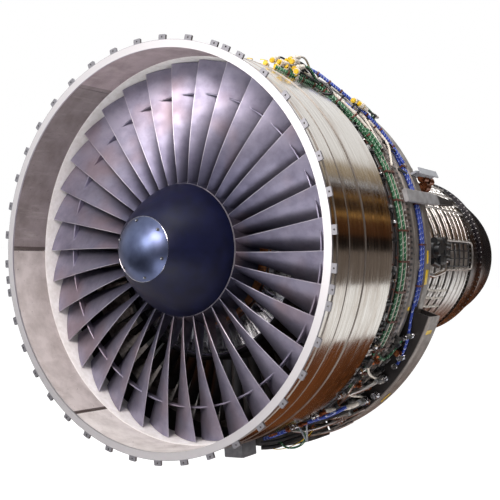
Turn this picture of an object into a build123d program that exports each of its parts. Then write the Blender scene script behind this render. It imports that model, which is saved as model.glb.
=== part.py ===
from build123d import *
from math import cos, radians, sin, tan
import os

os.makedirs("parts", exist_ok=True)

# Turbofan engine. Millimetres. The engine axis is Y, air flows along +Y, +Z is up.
# The origin is the centre of the front flange's bolt circle, on its front face.

# Clearances
seat_gap = 0.3
running_gap = 2.0
bearing_gap = 0.05

# Fan
fan_tip_r = 1221.5
blade_count = 34
tip_clearance = 4.5
blade_edge_t = 3.0
shroud_r = 1005.0
shroud_h = 12.0
shroud_len = 46.0
shroud_gap = 0.6
platform_t = 14.0
platform_gap = 1.0
dovetail_w = 34.0
dovetail_neck = 22.0
dovetail_h = 46.0

# Fan case and its linings
flange_r = 1269.0
flange_t = 14.0
lip_r = 1221.0
lip_t = 10.0
case_bore_r = 1246.0
lug_count = 40
lug_first = 0.66
lug_w = 53.0
lug_h = 31.0
lug_hole_r = 5.5
lug_hole_edge = 15.0
double_lug_spread = 4.0
extra_hole_step = 5.0
double_lugs = ((2, 1), (11, -1), (28, 1))
barrel_rear_r = 1270.0
barrel_end_y = 758.0
liner_end_y = 303.0
liner_rear_r = 1232.0
liner_panels = 6
liner_seam = 3.0
strip_end_y = 520.0
duct_r = 1196.0

# Aft fan case and fan frame
aft_skin_r = 1222.0
aft_front_flange_r = 1262.0
joint_flange_r = 1250.0
joint_y = 1103.0
joint_flange_t = 25.0
frame_end_y = 1455.0
frame_rear_r = 1240.0
strut_count = 10
strut_t = 44.0
vane_count = 68
vane_y = 860.0
vane_chord = 165.0
vane_t = 9.0

# Core flow path
spinner_base_r = 427.0
spinner_base_y = 316.0
cap_r = 199.0
cap_y = -36.0
cap_tip_y = -112.0
hub_rear_r = 492.0
disk_rear_y = 500.0
splitter_y = 556.0
splitter_r = 703.0
core_wall_r = 745.0
booster_hub_r = 500.0
booster_exit_r = 620.0
inlet_vane_count = 60

# Core stations and radii
hpc_front_r = 430.0
hpc_mid_y = 1800.0
hpc_rear_r = 385.0
hpc_end_y = 2150.0
burner_r = 505.0
burner_end_y = 2520.0
hpt_end_y = 2660.0
hpt_r = 540.0
lpt_front_r = 645.0
lpt_rear_r = 752.0
lpt_knee_y = 3250.0
lpt_end_y = 3600.0
rear_frame_end_y = 3980.0
rear_frame_r = 742.0
nozzle_exit_r = 600.0
nozzle_end_y = 4800.0
plug_r = 380.0
plug_end_y = 4720.0

# Shafts
fan_shaft_r = 62.0
fan_bore_r = 44.0
fan_journal_r = 110.0
core_journal_r = 120.0
bearing_h = 50.0


def station(y):
    """Plane across the axis at y; sketches on it extrude aft."""
    return Plane(origin=(0, y, 0), x_dir=(1, 0, 0), z_dir=(0, 1, 0))


def meridian(angle):
    """Half plane through the axis, angle degrees from the top towards +X; sketch x is the radius."""
    a = radians(angle)
    return Plane(origin=(0, 0, 0), x_dir=(sin(a), 0, cos(a)), z_dir=(-cos(a), 0, sin(a)))


def around(piece, count, first=0.0):
    """Copies of a piece evenly spaced round the axis, as separate solids."""
    return Compound([piece.rotate(Axis.Y, first + k * 360 / count) for k in range(count)])


def save(piece, name):
    """Labels a finished piece and writes its STEP file."""
    piece.label = name
    export_step(piece, f"parts/{name}.step")


def line_r(y, y0, r0, y1, r1):
    """Radius at y on the straight line from (y0, r0) to (y1, r1)."""
    return r0 + (r1 - r0) * (y - y0) / (y1 - y0)


# Fan case: front flange with lugs, stepped containment barrel
step_ys = (75.0, 210.0, 400.0)
step_rs = (1257.0, 1262.0, 1265.0)
flange_back = flange_t + 8
with BuildPart() as fan_case:
    with BuildSketch(Plane.XY):
        with BuildLine():
            Polyline(
                (lip_r, 0),
                (flange_r, 0),
                (flange_r, flange_t),
                (step_rs[0], flange_back),
                (step_rs[0], step_ys[0]),
                (step_rs[1], step_ys[0] + 4),
                (step_rs[1], step_ys[1]),
                (step_rs[2], step_ys[1] + 4),
                (step_rs[2], step_ys[2]),
                (barrel_rear_r, step_ys[2] + 6),
                (barrel_rear_r, barrel_end_y),
                (case_bore_r, barrel_end_y),
                (case_bore_r, lip_t),
                (lip_r, lip_t),
                close=True,
            )
        make_face()
    revolve(axis=Axis.Y)
    lug_pitch = 360 / lug_count
    lug_mid_r = flange_r + lug_h / 2 - 4
    with BuildSketch(station(0)):
        with PolarLocations(lug_mid_r, lug_count, start_angle=lug_first - 90):
            RectangleRounded(lug_h + 8, lug_w, 6)
        for k, side in double_lugs:
            turn = lug_first - 90 + k * lug_pitch + side * double_lug_spread
            with PolarLocations(lug_mid_r, 1, start_angle=turn):
                RectangleRounded(lug_h + 8, lug_w, 6)
    extrude(amount=flange_t)
    with BuildSketch(station(0)):
        hole_r = flange_r + lug_h - lug_hole_edge
        with PolarLocations(hole_r, lug_count, start_angle=lug_first - 90):
            Circle(lug_hole_r)
        for k, side in double_lugs:
            turn = lug_first - 90 + k * lug_pitch + side * double_lug_spread
            with PolarLocations(hole_r + extra_hole_step, 1, start_angle=turn):
                Circle(lug_hole_r)
    extrude(amount=flange_t, mode=Mode.SUBTRACT)
save(fan_case.part, "fan_case")

# Inlet liner: six acoustic panels with open seams between them
with BuildPart() as liner_panel:
    seam_deg = liner_seam / lip_r * 57.3
    with BuildSketch(meridian(26 + seam_deg / 2)):
        with BuildLine():
            Polyline(
                (lip_r, lip_t + seat_gap),
                (case_bore_r - seat_gap, lip_t + seat_gap),
                (case_bore_r - seat_gap, liner_end_y),
                (liner_rear_r, liner_end_y),
                close=True,
            )
        make_face()
    revolve(axis=Axis.Y, revolution_arc=360 / liner_panels - seam_deg)
inlet_liner = around(liner_panel.part, liner_panels)
save(inlet_liner, "inlet_liner")

# Rub strip round the blade tips
strip_r = fan_tip_r + tip_clearance
with BuildPart() as rub_strip:
    with BuildSketch(Plane.XY):
        with BuildLine():
            Polyline(
                (liner_rear_r - 2, liner_end_y + seat_gap),
                (case_bore_r - seat_gap, liner_end_y + seat_gap),
                (case_bore_r - seat_gap, strip_end_y),
                (strip_r, strip_end_y),
                (strip_r, liner_end_y + 18),
                close=True,
            )
        make_face()
    revolve(axis=Axis.Y)
save(rub_strip.part, "rub_strip")

# Aft liner between the rub strip and the aft fan case
with BuildPart() as aft_liner:
    with BuildSketch(Plane.XY):
        with BuildLine():
            Polyline(
                (strip_r, strip_end_y + seat_gap),
                (case_bore_r - seat_gap, strip_end_y + seat_gap),
                (case_bore_r - seat_gap, barrel_end_y),
                (duct_r, barrel_end_y),
                close=True,
            )
        make_face()
    revolve(axis=Axis.Y)
save(aft_liner.part, "aft_liner")

# Aft fan case: recessed skin with a flange at each end
with BuildPart() as aft_fan_case:
    with BuildSketch(Plane.XY):
        with BuildLine():
            Polyline(
                (duct_r, barrel_end_y + seat_gap),
                (aft_front_flange_r, barrel_end_y + seat_gap),
                (aft_front_flange_r, barrel_end_y + 16),
                (aft_skin_r + 6, barrel_end_y + 22),
                (aft_skin_r, barrel_end_y + 34),
                (aft_skin_r, joint_y - joint_flange_t - 8),
                (aft_skin_r + 6, joint_y - joint_flange_t),
                (joint_flange_r, joint_y - joint_flange_t),
                (joint_flange_r, joint_y),
                (duct_r, joint_y),
                close=True,
            )
        make_face()
    revolve(axis=Axis.Y)
save(aft_fan_case.part, "aft_fan_case")

# Fan frame: outer ring, struts, bypass wall, core duct walls and bearing hub in one casting
frame_front_y = joint_y + seat_gap
core_out_front = booster_exit_r
core_in_front = booster_hub_r
core_out_rear = hpc_front_r
core_in_rear = 330.0
hub_bore_r = core_journal_r + bearing_h
rib_y = 1180.0
rib_r = 1244.0
rear_band_y = 1375.0
wall_straight = 200.0
inner_strut_t = strut_t * 0.6
inner_strut_y = 86.0
inner_strut_len = 148.0
with BuildPart() as frame_ring:
    with BuildSketch(Plane.XY):
        with BuildLine():
            Polyline(
                (duct_r, frame_front_y),
                (joint_flange_r, frame_front_y),
                (joint_flange_r, frame_front_y + joint_flange_t),
                (aft_skin_r + 6, frame_front_y + joint_flange_t),
                (aft_skin_r, rib_y - 12),
                (rib_r, rib_y),
                (rib_r, rib_y + 36),
                (aft_skin_r, rib_y + 48),
                (aft_skin_r, rear_band_y - 10),
                (frame_rear_r, rear_band_y),
                (frame_rear_r, frame_end_y),
                (duct_r, frame_end_y),
                close=True,
            )
        make_face()
    revolve(axis=Axis.Y)
with BuildPart() as frame_wall:
    with BuildSketch(Plane.XY):
        with BuildLine():
            Polyline(
                (core_out_front, frame_front_y),
                (core_wall_r, frame_front_y),
                (core_wall_r, frame_front_y + wall_straight),
                (core_wall_r - 55, frame_end_y),
                (core_out_rear, frame_end_y),
                (core_out_rear + 25, frame_end_y - 120),
                close=True,
            )
        make_face()
    revolve(axis=Axis.Y)
with BuildPart() as frame_hub:
    with BuildSketch(Plane.XY):
        with BuildLine():
            Polyline(
                (hub_bore_r, frame_front_y),
                (core_in_front, frame_front_y),
                (core_in_rear + 35, frame_end_y - 120),
                (core_in_rear, frame_end_y - 20),
                (hub_bore_r, frame_end_y - 20),
                close=True,
            )
        make_face()
    revolve(axis=Axis.Y)

# Struts cross the bypass duct and the core duct and end against the frame's rings
with BuildPart() as outer_strut:
    with BuildSketch(station(frame_front_y + 15)):
        with PolarLocations((duct_r + core_wall_r) / 2, 1, start_angle=-90):
            Rectangle(duct_r - core_wall_r + 40, strut_t)
    extrude(amount=wall_straight - 30)
    with BuildSketch(Plane.XY):
        with Locations(((duct_r + core_wall_r) / 2, frame_front_y + wall_straight / 2)):
            Rectangle(duct_r - core_wall_r - 2 * seat_gap, wall_straight)
    revolve(axis=Axis.Y, mode=Mode.INTERSECT)
with BuildPart() as inner_strut:
    with BuildSketch(Plane.YZ.offset(-inner_strut_t / 2)):
        with Locations((frame_front_y + inner_strut_y, (core_in_front + core_out_front) / 2)):
            Rectangle(inner_strut_len, 2 * core_out_front)
    extrude(amount=inner_strut_t)
    with BuildSketch(Plane.XY):
        with BuildLine():
            Polyline(
                (core_in_front + seat_gap, frame_front_y),
                (core_out_front - seat_gap, frame_front_y),
                (core_out_rear + 25 - seat_gap, frame_end_y - 120),
                (core_in_rear + 35 + seat_gap, frame_end_y - 120),
                close=True,
            )
        make_face()
    revolve(axis=Axis.Y, mode=Mode.INTERSECT)

# Outlet guide vanes in the bypass duct, one solid each
with BuildPart() as guide_vane:
    vane_span = duct_r - core_wall_r - 5 * seat_gap
    with BuildSketch(Plane.XY.offset(core_wall_r + seat_gap)):
        with BuildLine():
            ThreePointArc((-12, vane_y), (14 + vane_t, vane_y + vane_chord / 2), (4, vane_y + vane_chord))
            ThreePointArc((4, vane_y + vane_chord), (14, vane_y + vane_chord / 2), (-12, vane_y))
        make_face()
    extrude(amount=vane_span)
outlet_guide_vanes = around(guide_vane.part, vane_count)
save(outlet_guide_vanes, "outlet_guide_vanes")

# Splitter fairing: the bypass duct's inner wall, with the rounded splitter lip
skin = 8.0
with BuildPart() as splitter_fairing:
    with BuildSketch(Plane.XY):
        with BuildLine():
            outer = Spline(
                (splitter_r, splitter_y),
                (splitter_r + 28, splitter_y + 110),
                (core_wall_r, vane_y - 20),
                tangents=((0.9, 0.5), (0, 1)),
            )
            Line(outer @ 1, (core_wall_r, joint_y))
            Line((core_wall_r, joint_y), (core_wall_r - skin, joint_y))
            Line((core_wall_r - skin, joint_y), (core_wall_r - skin, vane_y - 20))
            Line((core_wall_r - skin, vane_y - 20), (splitter_r + 16, splitter_y + 110))
            Line((splitter_r + 16, splitter_y + 110), (splitter_r - 4, splitter_y + 30))
            Line((splitter_r - 4, splitter_y + 30), (splitter_r, splitter_y))
        make_face()
    revolve(axis=Axis.Y)
save(splitter_fairing.part, "splitter_fairing")

# Booster case: outer wall of the core inlet, with three rings of stator vanes as plain rows
booster_front_y = splitter_y + 30 + seat_gap
booster_wall = 12.0
booster_rows = (730.0, 830.0, 930.0, 1030.0)
row_len = 44.0
with BuildPart() as booster_case:
    with BuildSketch(Plane.XY):
        with BuildLine():
            Polyline(
                (splitter_r - 18, booster_front_y),
                (splitter_r - 6, booster_front_y),
                (splitter_r - 6, booster_front_y + 60),
                (booster_exit_r + booster_wall, joint_y),
                (booster_exit_r, joint_y),
                close=True,
            )
        make_face()
        for y in booster_rows[:3]:
            wall_r = line_r(y + 72, booster_front_y, splitter_r - 18, joint_y, booster_exit_r)
            with Locations(((booster_hub_r + running_gap + wall_r + 6) / 2, y + 50)):
                Rectangle(wall_r + 6 - booster_hub_r - running_gap, 26)
    revolve(axis=Axis.Y)
save(booster_case.part, "booster_case")

# Booster inlet vanes: the silver slats behind the fan, standing on an inner ring
inlet_vane_y = 600.0
inlet_vane_len = 62.0
vane_end_y = inlet_vane_y + inlet_vane_len
inlet_vane_top = line_r(vane_end_y, booster_front_y, splitter_r - 18, joint_y, booster_exit_r) - 2 * seat_gap
with BuildPart() as booster_inlet_vanes:
    with BuildSketch(Plane.XY):
        with Locations((booster_hub_r + 8, inlet_vane_y + inlet_vane_len / 2)):
            Rectangle(12, inlet_vane_len)
    revolve(axis=Axis.Y)
    with BuildSketch(station(inlet_vane_y)):
        with PolarLocations((booster_hub_r + 10 + inlet_vane_top) / 2, inlet_vane_count):
            Rectangle(inlet_vane_top - booster_hub_r - 10, 7)
    extrude(amount=inlet_vane_len)
save(booster_inlet_vanes.part, "booster_inlet_vanes")

# Fan blades: twisted and shrouded, each with its platform and dovetail root
# Each section: radius, leading edge y, lead angle, stagger, chord, camber height, thickness
blade_first = 1.27
blade_lean = 3.2
blade_pitch = 360 / blade_count
rim_r = spinner_base_r - platform_t
blade_sections = (
    (spinner_base_r + 4, 326.0, -1.5, 12.0, 165.0, 22.0, 20.0),
    (560.0, 315.0, -1.8, 24.0, 192.0, 24.0, 17.0),
    (770.0, 313.0, -2.3, 42.0, 236.0, 22.0, 13.0),
    (shroud_r, 331.0, -2.8, 56.5, 270.0, 15.0, 10.0),
    (fan_tip_r, 356.0, -blade_lean, 67.0, 292.0, 8.0, 7.0),
)
shroud_y = 345.0
with BuildPart() as fan_blade:
    for r, le_y, lead, stagger, chord, camber, thick in blade_sections:
        with BuildSketch(Plane.XY.offset(r)):
            across = Vector(sin(radians(stagger)), cos(radians(stagger)))
            side = Vector(across.Y, -across.X)
            nose = Vector(r * tan(radians(lead)), le_y)
            tail = nose + across * chord
            mid = (nose + tail) * 0.5
            edge = side * (blade_edge_t / 2)
            with BuildLine():
                ThreePointArc(nose + edge, mid + side * (camber + thick / 2), tail + edge)
                Line(tail + edge, tail - edge)
                ThreePointArc(tail - edge, mid + side * (camber - thick / 2), nose - edge)
                Line(nose - edge, nose + edge)
            make_face()
    loft()
    with BuildSketch(station(0)):
        Circle(fan_tip_r)
    extrude(amount=joint_y, mode=Mode.INTERSECT)
    with BuildSketch(meridian(-(blade_pitch / 2) + platform_gap / rim_r * 57.3 / 2)):
        with BuildLine():
            Polyline(
                (rim_r, spinner_base_y + 2),
                (spinner_base_r, spinner_base_y + 2),
                (hub_rear_r, disk_rear_y),
                (rim_r, disk_rear_y),
                close=True,
            )
        make_face()
    revolve(axis=Axis.Y, revolution_arc=blade_pitch - platform_gap / rim_r * 57.3)
    with BuildSketch(station(spinner_base_y + 12)):
        with BuildLine():
            Polyline(
                (-dovetail_neck / 2, -rim_r - 2),
                (dovetail_neck / 2, -rim_r - 2),
                (dovetail_neck / 2, -rim_r + 14),
                (dovetail_w / 2, -rim_r + 24),
                (dovetail_w / 2, -rim_r + dovetail_h - 4),
                (dovetail_w / 2 - 4, -rim_r + dovetail_h),
                (-dovetail_w / 2 + 4, -rim_r + dovetail_h),
                (-dovetail_w / 2, -rim_r + dovetail_h - 4),
                (-dovetail_w / 2, -rim_r + 24),
                (-dovetail_neck / 2, -rim_r + 14),
                close=True,
            )
        make_face()
    extrude(amount=disk_rear_y - spinner_base_y - 24)
    tab_deg = blade_pitch - shroud_gap / shroud_r * 57.3
    tab_plane = meridian(blade_pitch * 0.02)
    with BuildSketch(tab_plane):
        with Locations((shroud_r, shroud_y + shroud_len / 2 + 12)):
            RectangleRounded(shroud_h, shroud_len, 5)
    revolve(axis=Axis.Y, revolution_arc=tab_deg)
fan_blades = around(fan_blade.part, blade_count, blade_first + blade_lean)
save(fan_blades, "fan_blades")

# Section of a dovetail slot, at the top of the disk
with BuildSketch(station(0)) as slot_shape:
    with BuildLine():
        Polyline(
            (-dovetail_neck / 2 - seat_gap, -rim_r - 4),
            (dovetail_neck / 2 + seat_gap, -rim_r - 4),
            (dovetail_neck / 2 + seat_gap, -rim_r + 14),
            (dovetail_w / 2 + seat_gap, -rim_r + 24),
            (dovetail_w / 2 + seat_gap, -rim_r + dovetail_h + seat_gap),
            (-dovetail_w / 2 - seat_gap, -rim_r + dovetail_h + seat_gap),
            (-dovetail_w / 2 - seat_gap, -rim_r + 24),
            (-dovetail_neck / 2 - seat_gap, -rim_r + 14),
            close=True,
        )
    make_face()

# Fan disk with a dovetail slot for each blade
disk_r = rim_r - seat_gap
disk_bore_r = 150.0
disk_hub_r = 228.0
with BuildPart() as fan_disk:
    with BuildSketch(Plane.XY):
        with BuildLine():
            Polyline(
                (disk_r, spinner_base_y + 4),
                (disk_r, disk_rear_y),
                (disk_r - 80, disk_rear_y),
                (disk_r - 80, 450),
                (disk_hub_r, 430),
                (disk_hub_r, 470),
                (disk_bore_r, 470),
                (disk_bore_r, 345),
                (disk_hub_r, 345),
                (disk_hub_r, 385),
                (disk_r - 80, 370),
                (disk_r - 80, spinner_base_y + 4),
                close=True,
            )
        make_face()
    revolve(axis=Axis.Y)
    with BuildSketch(station(spinner_base_y)):
        with PolarLocations(0, blade_count, start_angle=blade_first + blade_lean):
            add(slot_shape.sketch_local)
    extrude(amount=disk_rear_y, mode=Mode.SUBTRACT)
save(fan_disk.part, "fan_disk")

# Spinner cone, a shell that seats on the disk's front rim
spinner_skin = 7.0
with BuildPart() as spinner_cone:
    with BuildSketch(Plane.XY):
        with BuildLine():
            front = (cap_r, cap_y + seat_gap)
            rear = (spinner_base_r, spinner_base_y)
            skin_line = Spline(front, (330, 128), rear, tangents=((0.85, 0.72), (0.3, 1)))
            seat_y = spinner_base_y + 4 - seat_gap
            Polyline(
                skin_line @ 1,
                (rim_r - 2, spinner_base_y),
                (rim_r - 2, seat_y),
                (spinner_base_r - 30, seat_y),
                (330 - 14, 140),
            )
            Line((330 - 14, 140), (cap_r - 40, cap_y + 30))
            Line((cap_r - 40, cap_y + 30), (cap_r - 40, cap_y + seat_gap))
            Line((cap_r - 40, cap_y + seat_gap), skin_line @ 0)
        make_face()
    revolve(axis=Axis.Y)
save(spinner_cone.part, "spinner_cone")

# Nose cap with six countersunk bolt seats
cap_bolts = 6
cap_bolt_r = 5.0
cap_bolt_circle = 176.0
with BuildPart() as nose_cap:
    with BuildSketch(Plane.XY):
        with BuildLine():
            dome = Spline((0, cap_tip_y), (112, cap_tip_y + 20), (cap_r, cap_y), tangents=((1, 0), (0.72, 0.7)))
            Line(dome @ 1, (cap_r - spinner_skin * 6, cap_y))
            Line((cap_r - spinner_skin * 6, cap_y), (104, cap_tip_y + 30))
            Line((104, cap_tip_y + 30), (0, cap_tip_y + 9))
            Line((0, cap_tip_y + 9), dome @ 0)
        make_face()
    revolve(axis=Axis.Y)
    with BuildSketch(station(cap_tip_y)):
        with PolarLocations(cap_bolt_circle, cap_bolts, start_angle=15):
            Circle(cap_bolt_r + seat_gap)
    extrude(amount=120, mode=Mode.SUBTRACT)
save(nose_cap.part, "nose_cap")

# Nose cap bolts, one solid each
with BuildPart() as cap_bolt:
    with BuildSketch(station(cap_y - 26)):
        with Locations((cap_bolt_circle, 0)):
            Circle(cap_bolt_r)
    extrude(amount=26)
    with BuildSketch(station(cap_y - 24)):
        with Locations((cap_bolt_circle, 0)):
            RegularPolygon(cap_bolt_r * 0.9, 6)
    extrude(amount=-6)
nose_cap_bolts = around(cap_bolt.part, cap_bolts, 15)
save(nose_cap_bolts, "nose_cap_bolts")

# Bronze-coloured ring behind the fan, on the booster drum
drum_r = booster_hub_r - running_gap
with BuildPart() as spool_front_ring:
    with BuildSketch(Plane.XY):
        with BuildLine():
            Polyline(
                (disk_r - 30, disk_rear_y + seat_gap),
                (hub_rear_r - 2, disk_rear_y + seat_gap),
                (drum_r, disk_rear_y + 20),
                (drum_r, inlet_vane_y - 10),
                (drum_r - 14, inlet_vane_y - 10),
                (disk_r - 30, disk_rear_y + 24),
                close=True,
            )
        make_face()
    revolve(axis=Axis.Y)
save(spool_front_ring.part, "spool_front_ring")

# Booster rotor: drum with four rows, each row swept as a plain ring
with BuildPart() as booster_rotor:
    with BuildSketch(Plane.XY):
        with BuildLine():
            Polyline(
                (disk_r - 78, disk_rear_y + seat_gap),
                (disk_r - 32, disk_rear_y + seat_gap),
                (disk_r - 32, disk_rear_y + 26),
                (drum_r - 15, inlet_vane_y - 6),
                (drum_r, inlet_vane_y - 6),
                (drum_r, booster_rows[3] + 34),
                (drum_r - 20, booster_rows[3] + 34),
                (drum_r - 28, inlet_vane_y + 10),
                (disk_r - 78, disk_rear_y + 34),
                close=True,
            )
        make_face()
        for y in booster_rows:
            top_r = line_r(y + 22, booster_front_y, splitter_r - 18, joint_y, booster_exit_r) - running_gap
            with Locations(((drum_r - 8 + top_r) / 2, y)):
                Rectangle(top_r - drum_r + 8, row_len)
    revolve(axis=Axis.Y)
save(booster_rotor.part, "booster_rotor")

# Low-pressure shaft, from the fan disk to the rear bearing
shaft_end_y = 3885.0
with BuildPart() as fan_shaft:
    with BuildSketch(Plane.XY):
        with BuildLine():
            Polyline(
                (disk_bore_r + 12, 470 + seat_gap),
                (disk_hub_r, 470 + seat_gap),
                (disk_hub_r, 488),
                (fan_journal_r, 600),
                (fan_journal_r, 720),
                (fan_shaft_r, 800),
                (fan_shaft_r, shaft_end_y),
                (fan_bore_r, shaft_end_y),
                (fan_bore_r, 790),
                (fan_journal_r - 22, 712),
                (fan_journal_r - 22, 606),
                (disk_bore_r + 12, 500),
                close=True,
            )
        make_face()
    revolve(axis=Axis.Y)
save(fan_shaft.part, "fan_shaft")


def bearing(inner_r, outer_r, y, length):
    """Closed bearing, both races and its rollers as one ring."""
    with BuildPart() as ring:
        with BuildSketch(Plane.XY):
            with Locations(((inner_r + outer_r) / 2, y + length / 2)):
                Rectangle(outer_r - inner_r, length)
        revolve(axis=Axis.Y)
    return ring.part


front_bearing_y = 630.0
front_housing_r = fan_journal_r + bearing_h
core_front_bearing_y = 1350.0
core_rear_bearing_y = 2405.0
rear_bearing_y = 3805.0
rear_housing_r = fan_shaft_r + bearing_h
main_bearings = Compound(
    [
        bearing(fan_journal_r + bearing_gap, front_housing_r - bearing_gap, front_bearing_y, 50),
        bearing(core_journal_r + bearing_gap, hub_bore_r - bearing_gap, core_front_bearing_y, 45),
        bearing(core_journal_r + bearing_gap, hub_bore_r - bearing_gap, core_rear_bearing_y, 45),
        bearing(fan_shaft_r + bearing_gap, rear_housing_r - bearing_gap, rear_bearing_y, 55),
    ]
)
save(main_bearings, "main_bearings")

# Bearing support: cone from the fan frame's hub forward to the front bearing
with BuildPart() as bearing_support:
    with BuildSketch(Plane.XY):
        with BuildLine():
            Polyline(
                (front_housing_r, front_bearing_y - 8),
                (front_housing_r + 16, front_bearing_y - 8),
                (front_housing_r + 16, front_bearing_y + 70),
                (330, joint_y - 18),
                (400, joint_y - 18),
                (400, joint_y),
                (312, joint_y),
                (front_housing_r, front_bearing_y + 76),
                close=True,
            )
        make_face()
    revolve(axis=Axis.Y)
save(bearing_support.part, "bearing_support")

# Compressor cases: split at the middle flange, each with its stator rows as plain rings
hpc_wall = 16.0
case_flange_h = 30.0
hpc_rows = 14
hpc_first_y = 1485.0
hpc_pitch = 46.0
row_t = 20.0
rotor_front_r = 328.0
rotor_rear_r = 350.0


def hpc_wall_r(y):
    return line_r(y, frame_end_y, hpc_front_r, hpc_end_y, hpc_rear_r)


def hpc_drum_r(y):
    return line_r(y, hpc_first_y - 10, rotor_front_r, hpc_end_y - 25, rotor_rear_r)


def compressor_case(y0, y1):
    """Conical case from y0 to y1 with a flange at each end and the stator rows that lie inside."""
    with BuildPart() as case:
        with BuildSketch(Plane.XY):
            with BuildLine():
                Polyline(
                    (hpc_wall_r(y0), y0),
                    (hpc_wall_r(y0) + hpc_wall + case_flange_h, y0),
                    (hpc_wall_r(y0) + hpc_wall + case_flange_h, y0 + 14),
                    (hpc_wall_r(y0 + 20) + hpc_wall, y0 + 20),
                    (hpc_wall_r(y1 - 20) + hpc_wall, y1 - 20),
                    (hpc_wall_r(y1) + hpc_wall + case_flange_h, y1 - 14),
                    (hpc_wall_r(y1) + hpc_wall + case_flange_h, y1),
                    (hpc_wall_r(y1), y1),
                    close=True,
                )
            make_face()
            for k in range(hpc_rows - 1):
                y = hpc_first_y + (k + 0.5) * hpc_pitch
                if y0 + 8 < y < y1 - 8:
                    low = hpc_drum_r(y) + running_gap + 1
                    high = hpc_wall_r(y) + 6
                    with Locations(((low + high) / 2, y)):
                        Rectangle(high - low, row_t * 0.7)
        revolve(axis=Axis.Y)
    return case.part


save(compressor_case(frame_end_y + seat_gap, hpc_mid_y), "hpc_front_case")
save(compressor_case(hpc_mid_y + seat_gap, hpc_end_y), "hpc_rear_case")

# Compressor rotor: drum with fourteen rows as plain rings, front journal and rear shaft
core_bore_r = 78.0
core_shaft_end_y = 2560.0
drive_gear_y = 1302.0
with BuildPart() as hpc_rotor:
    with BuildSketch(Plane.XY):
        with BuildLine():
            Polyline(
                (core_bore_r, drive_gear_y),
                (core_journal_r - 24, drive_gear_y),
                (core_journal_r + 4, drive_gear_y + 16),
                (core_journal_r, drive_gear_y + 26),
                (core_journal_r, 1438),
                (rotor_front_r, hpc_first_y - 10),
                (rotor_rear_r, hpc_end_y - 25),
                (core_journal_r, hpc_end_y + 60),
                (core_journal_r, core_shaft_end_y),
                (core_bore_r + 14, core_shaft_end_y),
                (core_bore_r + 14, hpc_end_y + 44),
                (rotor_rear_r - 18, hpc_end_y - 42),
                (rotor_front_r - 18, hpc_first_y + 4),
                (core_bore_r + 14, 1452),
                (core_bore_r, 1452),
                close=True,
            )
        make_face()
        for k in range(hpc_rows):
            y = hpc_first_y + k * hpc_pitch
            low = hpc_drum_r(y) - 6
            high = hpc_wall_r(y + row_t / 2) - running_gap
            with Locations(((low + high) / 2, y)):
                Rectangle(high - low, row_t)
    revolve(axis=Axis.Y)
save(hpc_rotor.part, "hpc_rotor")

# Diffuser frame: inner cone and bearing hub, held by struts from the burner case's front
burner_wall = 14.0
diffuser_y = hpc_end_y + 12
diffuser_r = 348.0
diffuser_struts = 10
diffuser_top = 392.0
with BuildPart() as diffuser_frame:
    with BuildSketch(Plane.XY):
        with BuildLine():
            Polyline(
                (diffuser_r - 30, diffuser_y),
                (diffuser_r, diffuser_y),
                (diffuser_r, diffuser_y + 70),
                (hub_bore_r + 20, core_rear_bearing_y),
                (hub_bore_r + 20, core_rear_bearing_y + 50),
                (hub_bore_r, core_rear_bearing_y + 50),
                (hub_bore_r, core_rear_bearing_y - 12),
                (diffuser_r - 30, diffuser_y + 60),
                close=True,
            )
        make_face()
    revolve(axis=Axis.Y)
    with BuildSketch(station(diffuser_y + 6)):
        with PolarLocations((diffuser_r - 8 + diffuser_top) / 2, diffuser_struts):
            Rectangle(diffuser_top - diffuser_r + 8 - 2 * seat_gap, 16)
    extrude(amount=54)
save(diffuser_frame.part, "diffuser_frame")

# Burner case, with a hole for each fuel nozzle
nozzle_count = 30
fuel_nozzle_r = 10.0
fuel_nozzle_y = 2238.0
with BuildPart() as burner_case:
    with BuildSketch(Plane.XY):
        with BuildLine():
            Polyline(
                (diffuser_top, hpc_end_y + seat_gap),
                (hpc_rear_r + hpc_wall + case_flange_h, hpc_end_y + seat_gap),
                (hpc_rear_r + hpc_wall + case_flange_h, hpc_end_y + 16),
                (diffuser_top + burner_wall, hpc_end_y + 22),
                (diffuser_top + burner_wall, hpc_end_y + 44),
                (burner_r, fuel_nozzle_y - 22),
                (burner_r, burner_end_y - 18),
                (burner_r + case_flange_h, burner_end_y - 14),
                (burner_r + case_flange_h, burner_end_y),
                (burner_r - burner_wall, burner_end_y),
                (burner_r - burner_wall, fuel_nozzle_y - 16),
                (diffuser_top, hpc_end_y + 56),
                close=True,
            )
        make_face()
    revolve(axis=Axis.Y)
    with PolarLocations(0, 1):
        for k in range(nozzle_count):
            a = radians(k * 360 / nozzle_count + 6)
            out = Plane(origin=(0, fuel_nozzle_y, 0), x_dir=(0, 1, 0), z_dir=(sin(a), 0, cos(a)))
            with BuildSketch(out.offset(burner_r - 60)):
                Circle(fuel_nozzle_r + seat_gap)
            extrude(amount=100, mode=Mode.SUBTRACT)
save(burner_case.part, "burner_case")

# Burner liner: annular can, open at the back
can_out_r = 478.0
can_in_r = 396.0
can_y = 2262.0
can_t = 6.0
can_end_y = 2505.0
with BuildPart() as burner_liner:
    with BuildSketch(Plane.XY):
        with BuildLine():
            Polyline(
                (can_in_r, can_y + 24),
                (can_in_r + 18, can_y),
                (can_out_r - 6, can_y),
                (burner_r - burner_wall - seat_gap, can_y + 34),
                (burner_r - burner_wall - seat_gap, can_y + 60),
                (can_out_r, can_y + 70),
                (can_out_r, can_end_y),
                (can_out_r - can_t, can_end_y),
                (can_out_r - can_t, can_y + 30),
                (can_out_r - 14, can_y + can_t),
                (can_in_r + 20, can_y + can_t),
                (can_in_r + can_t, can_y + 26),
                (can_in_r + can_t, can_end_y),
                (can_in_r, can_end_y),
                close=True,
            )
        make_face()
    revolve(axis=Axis.Y)
save(burner_liner.part, "burner_liner")

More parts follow.
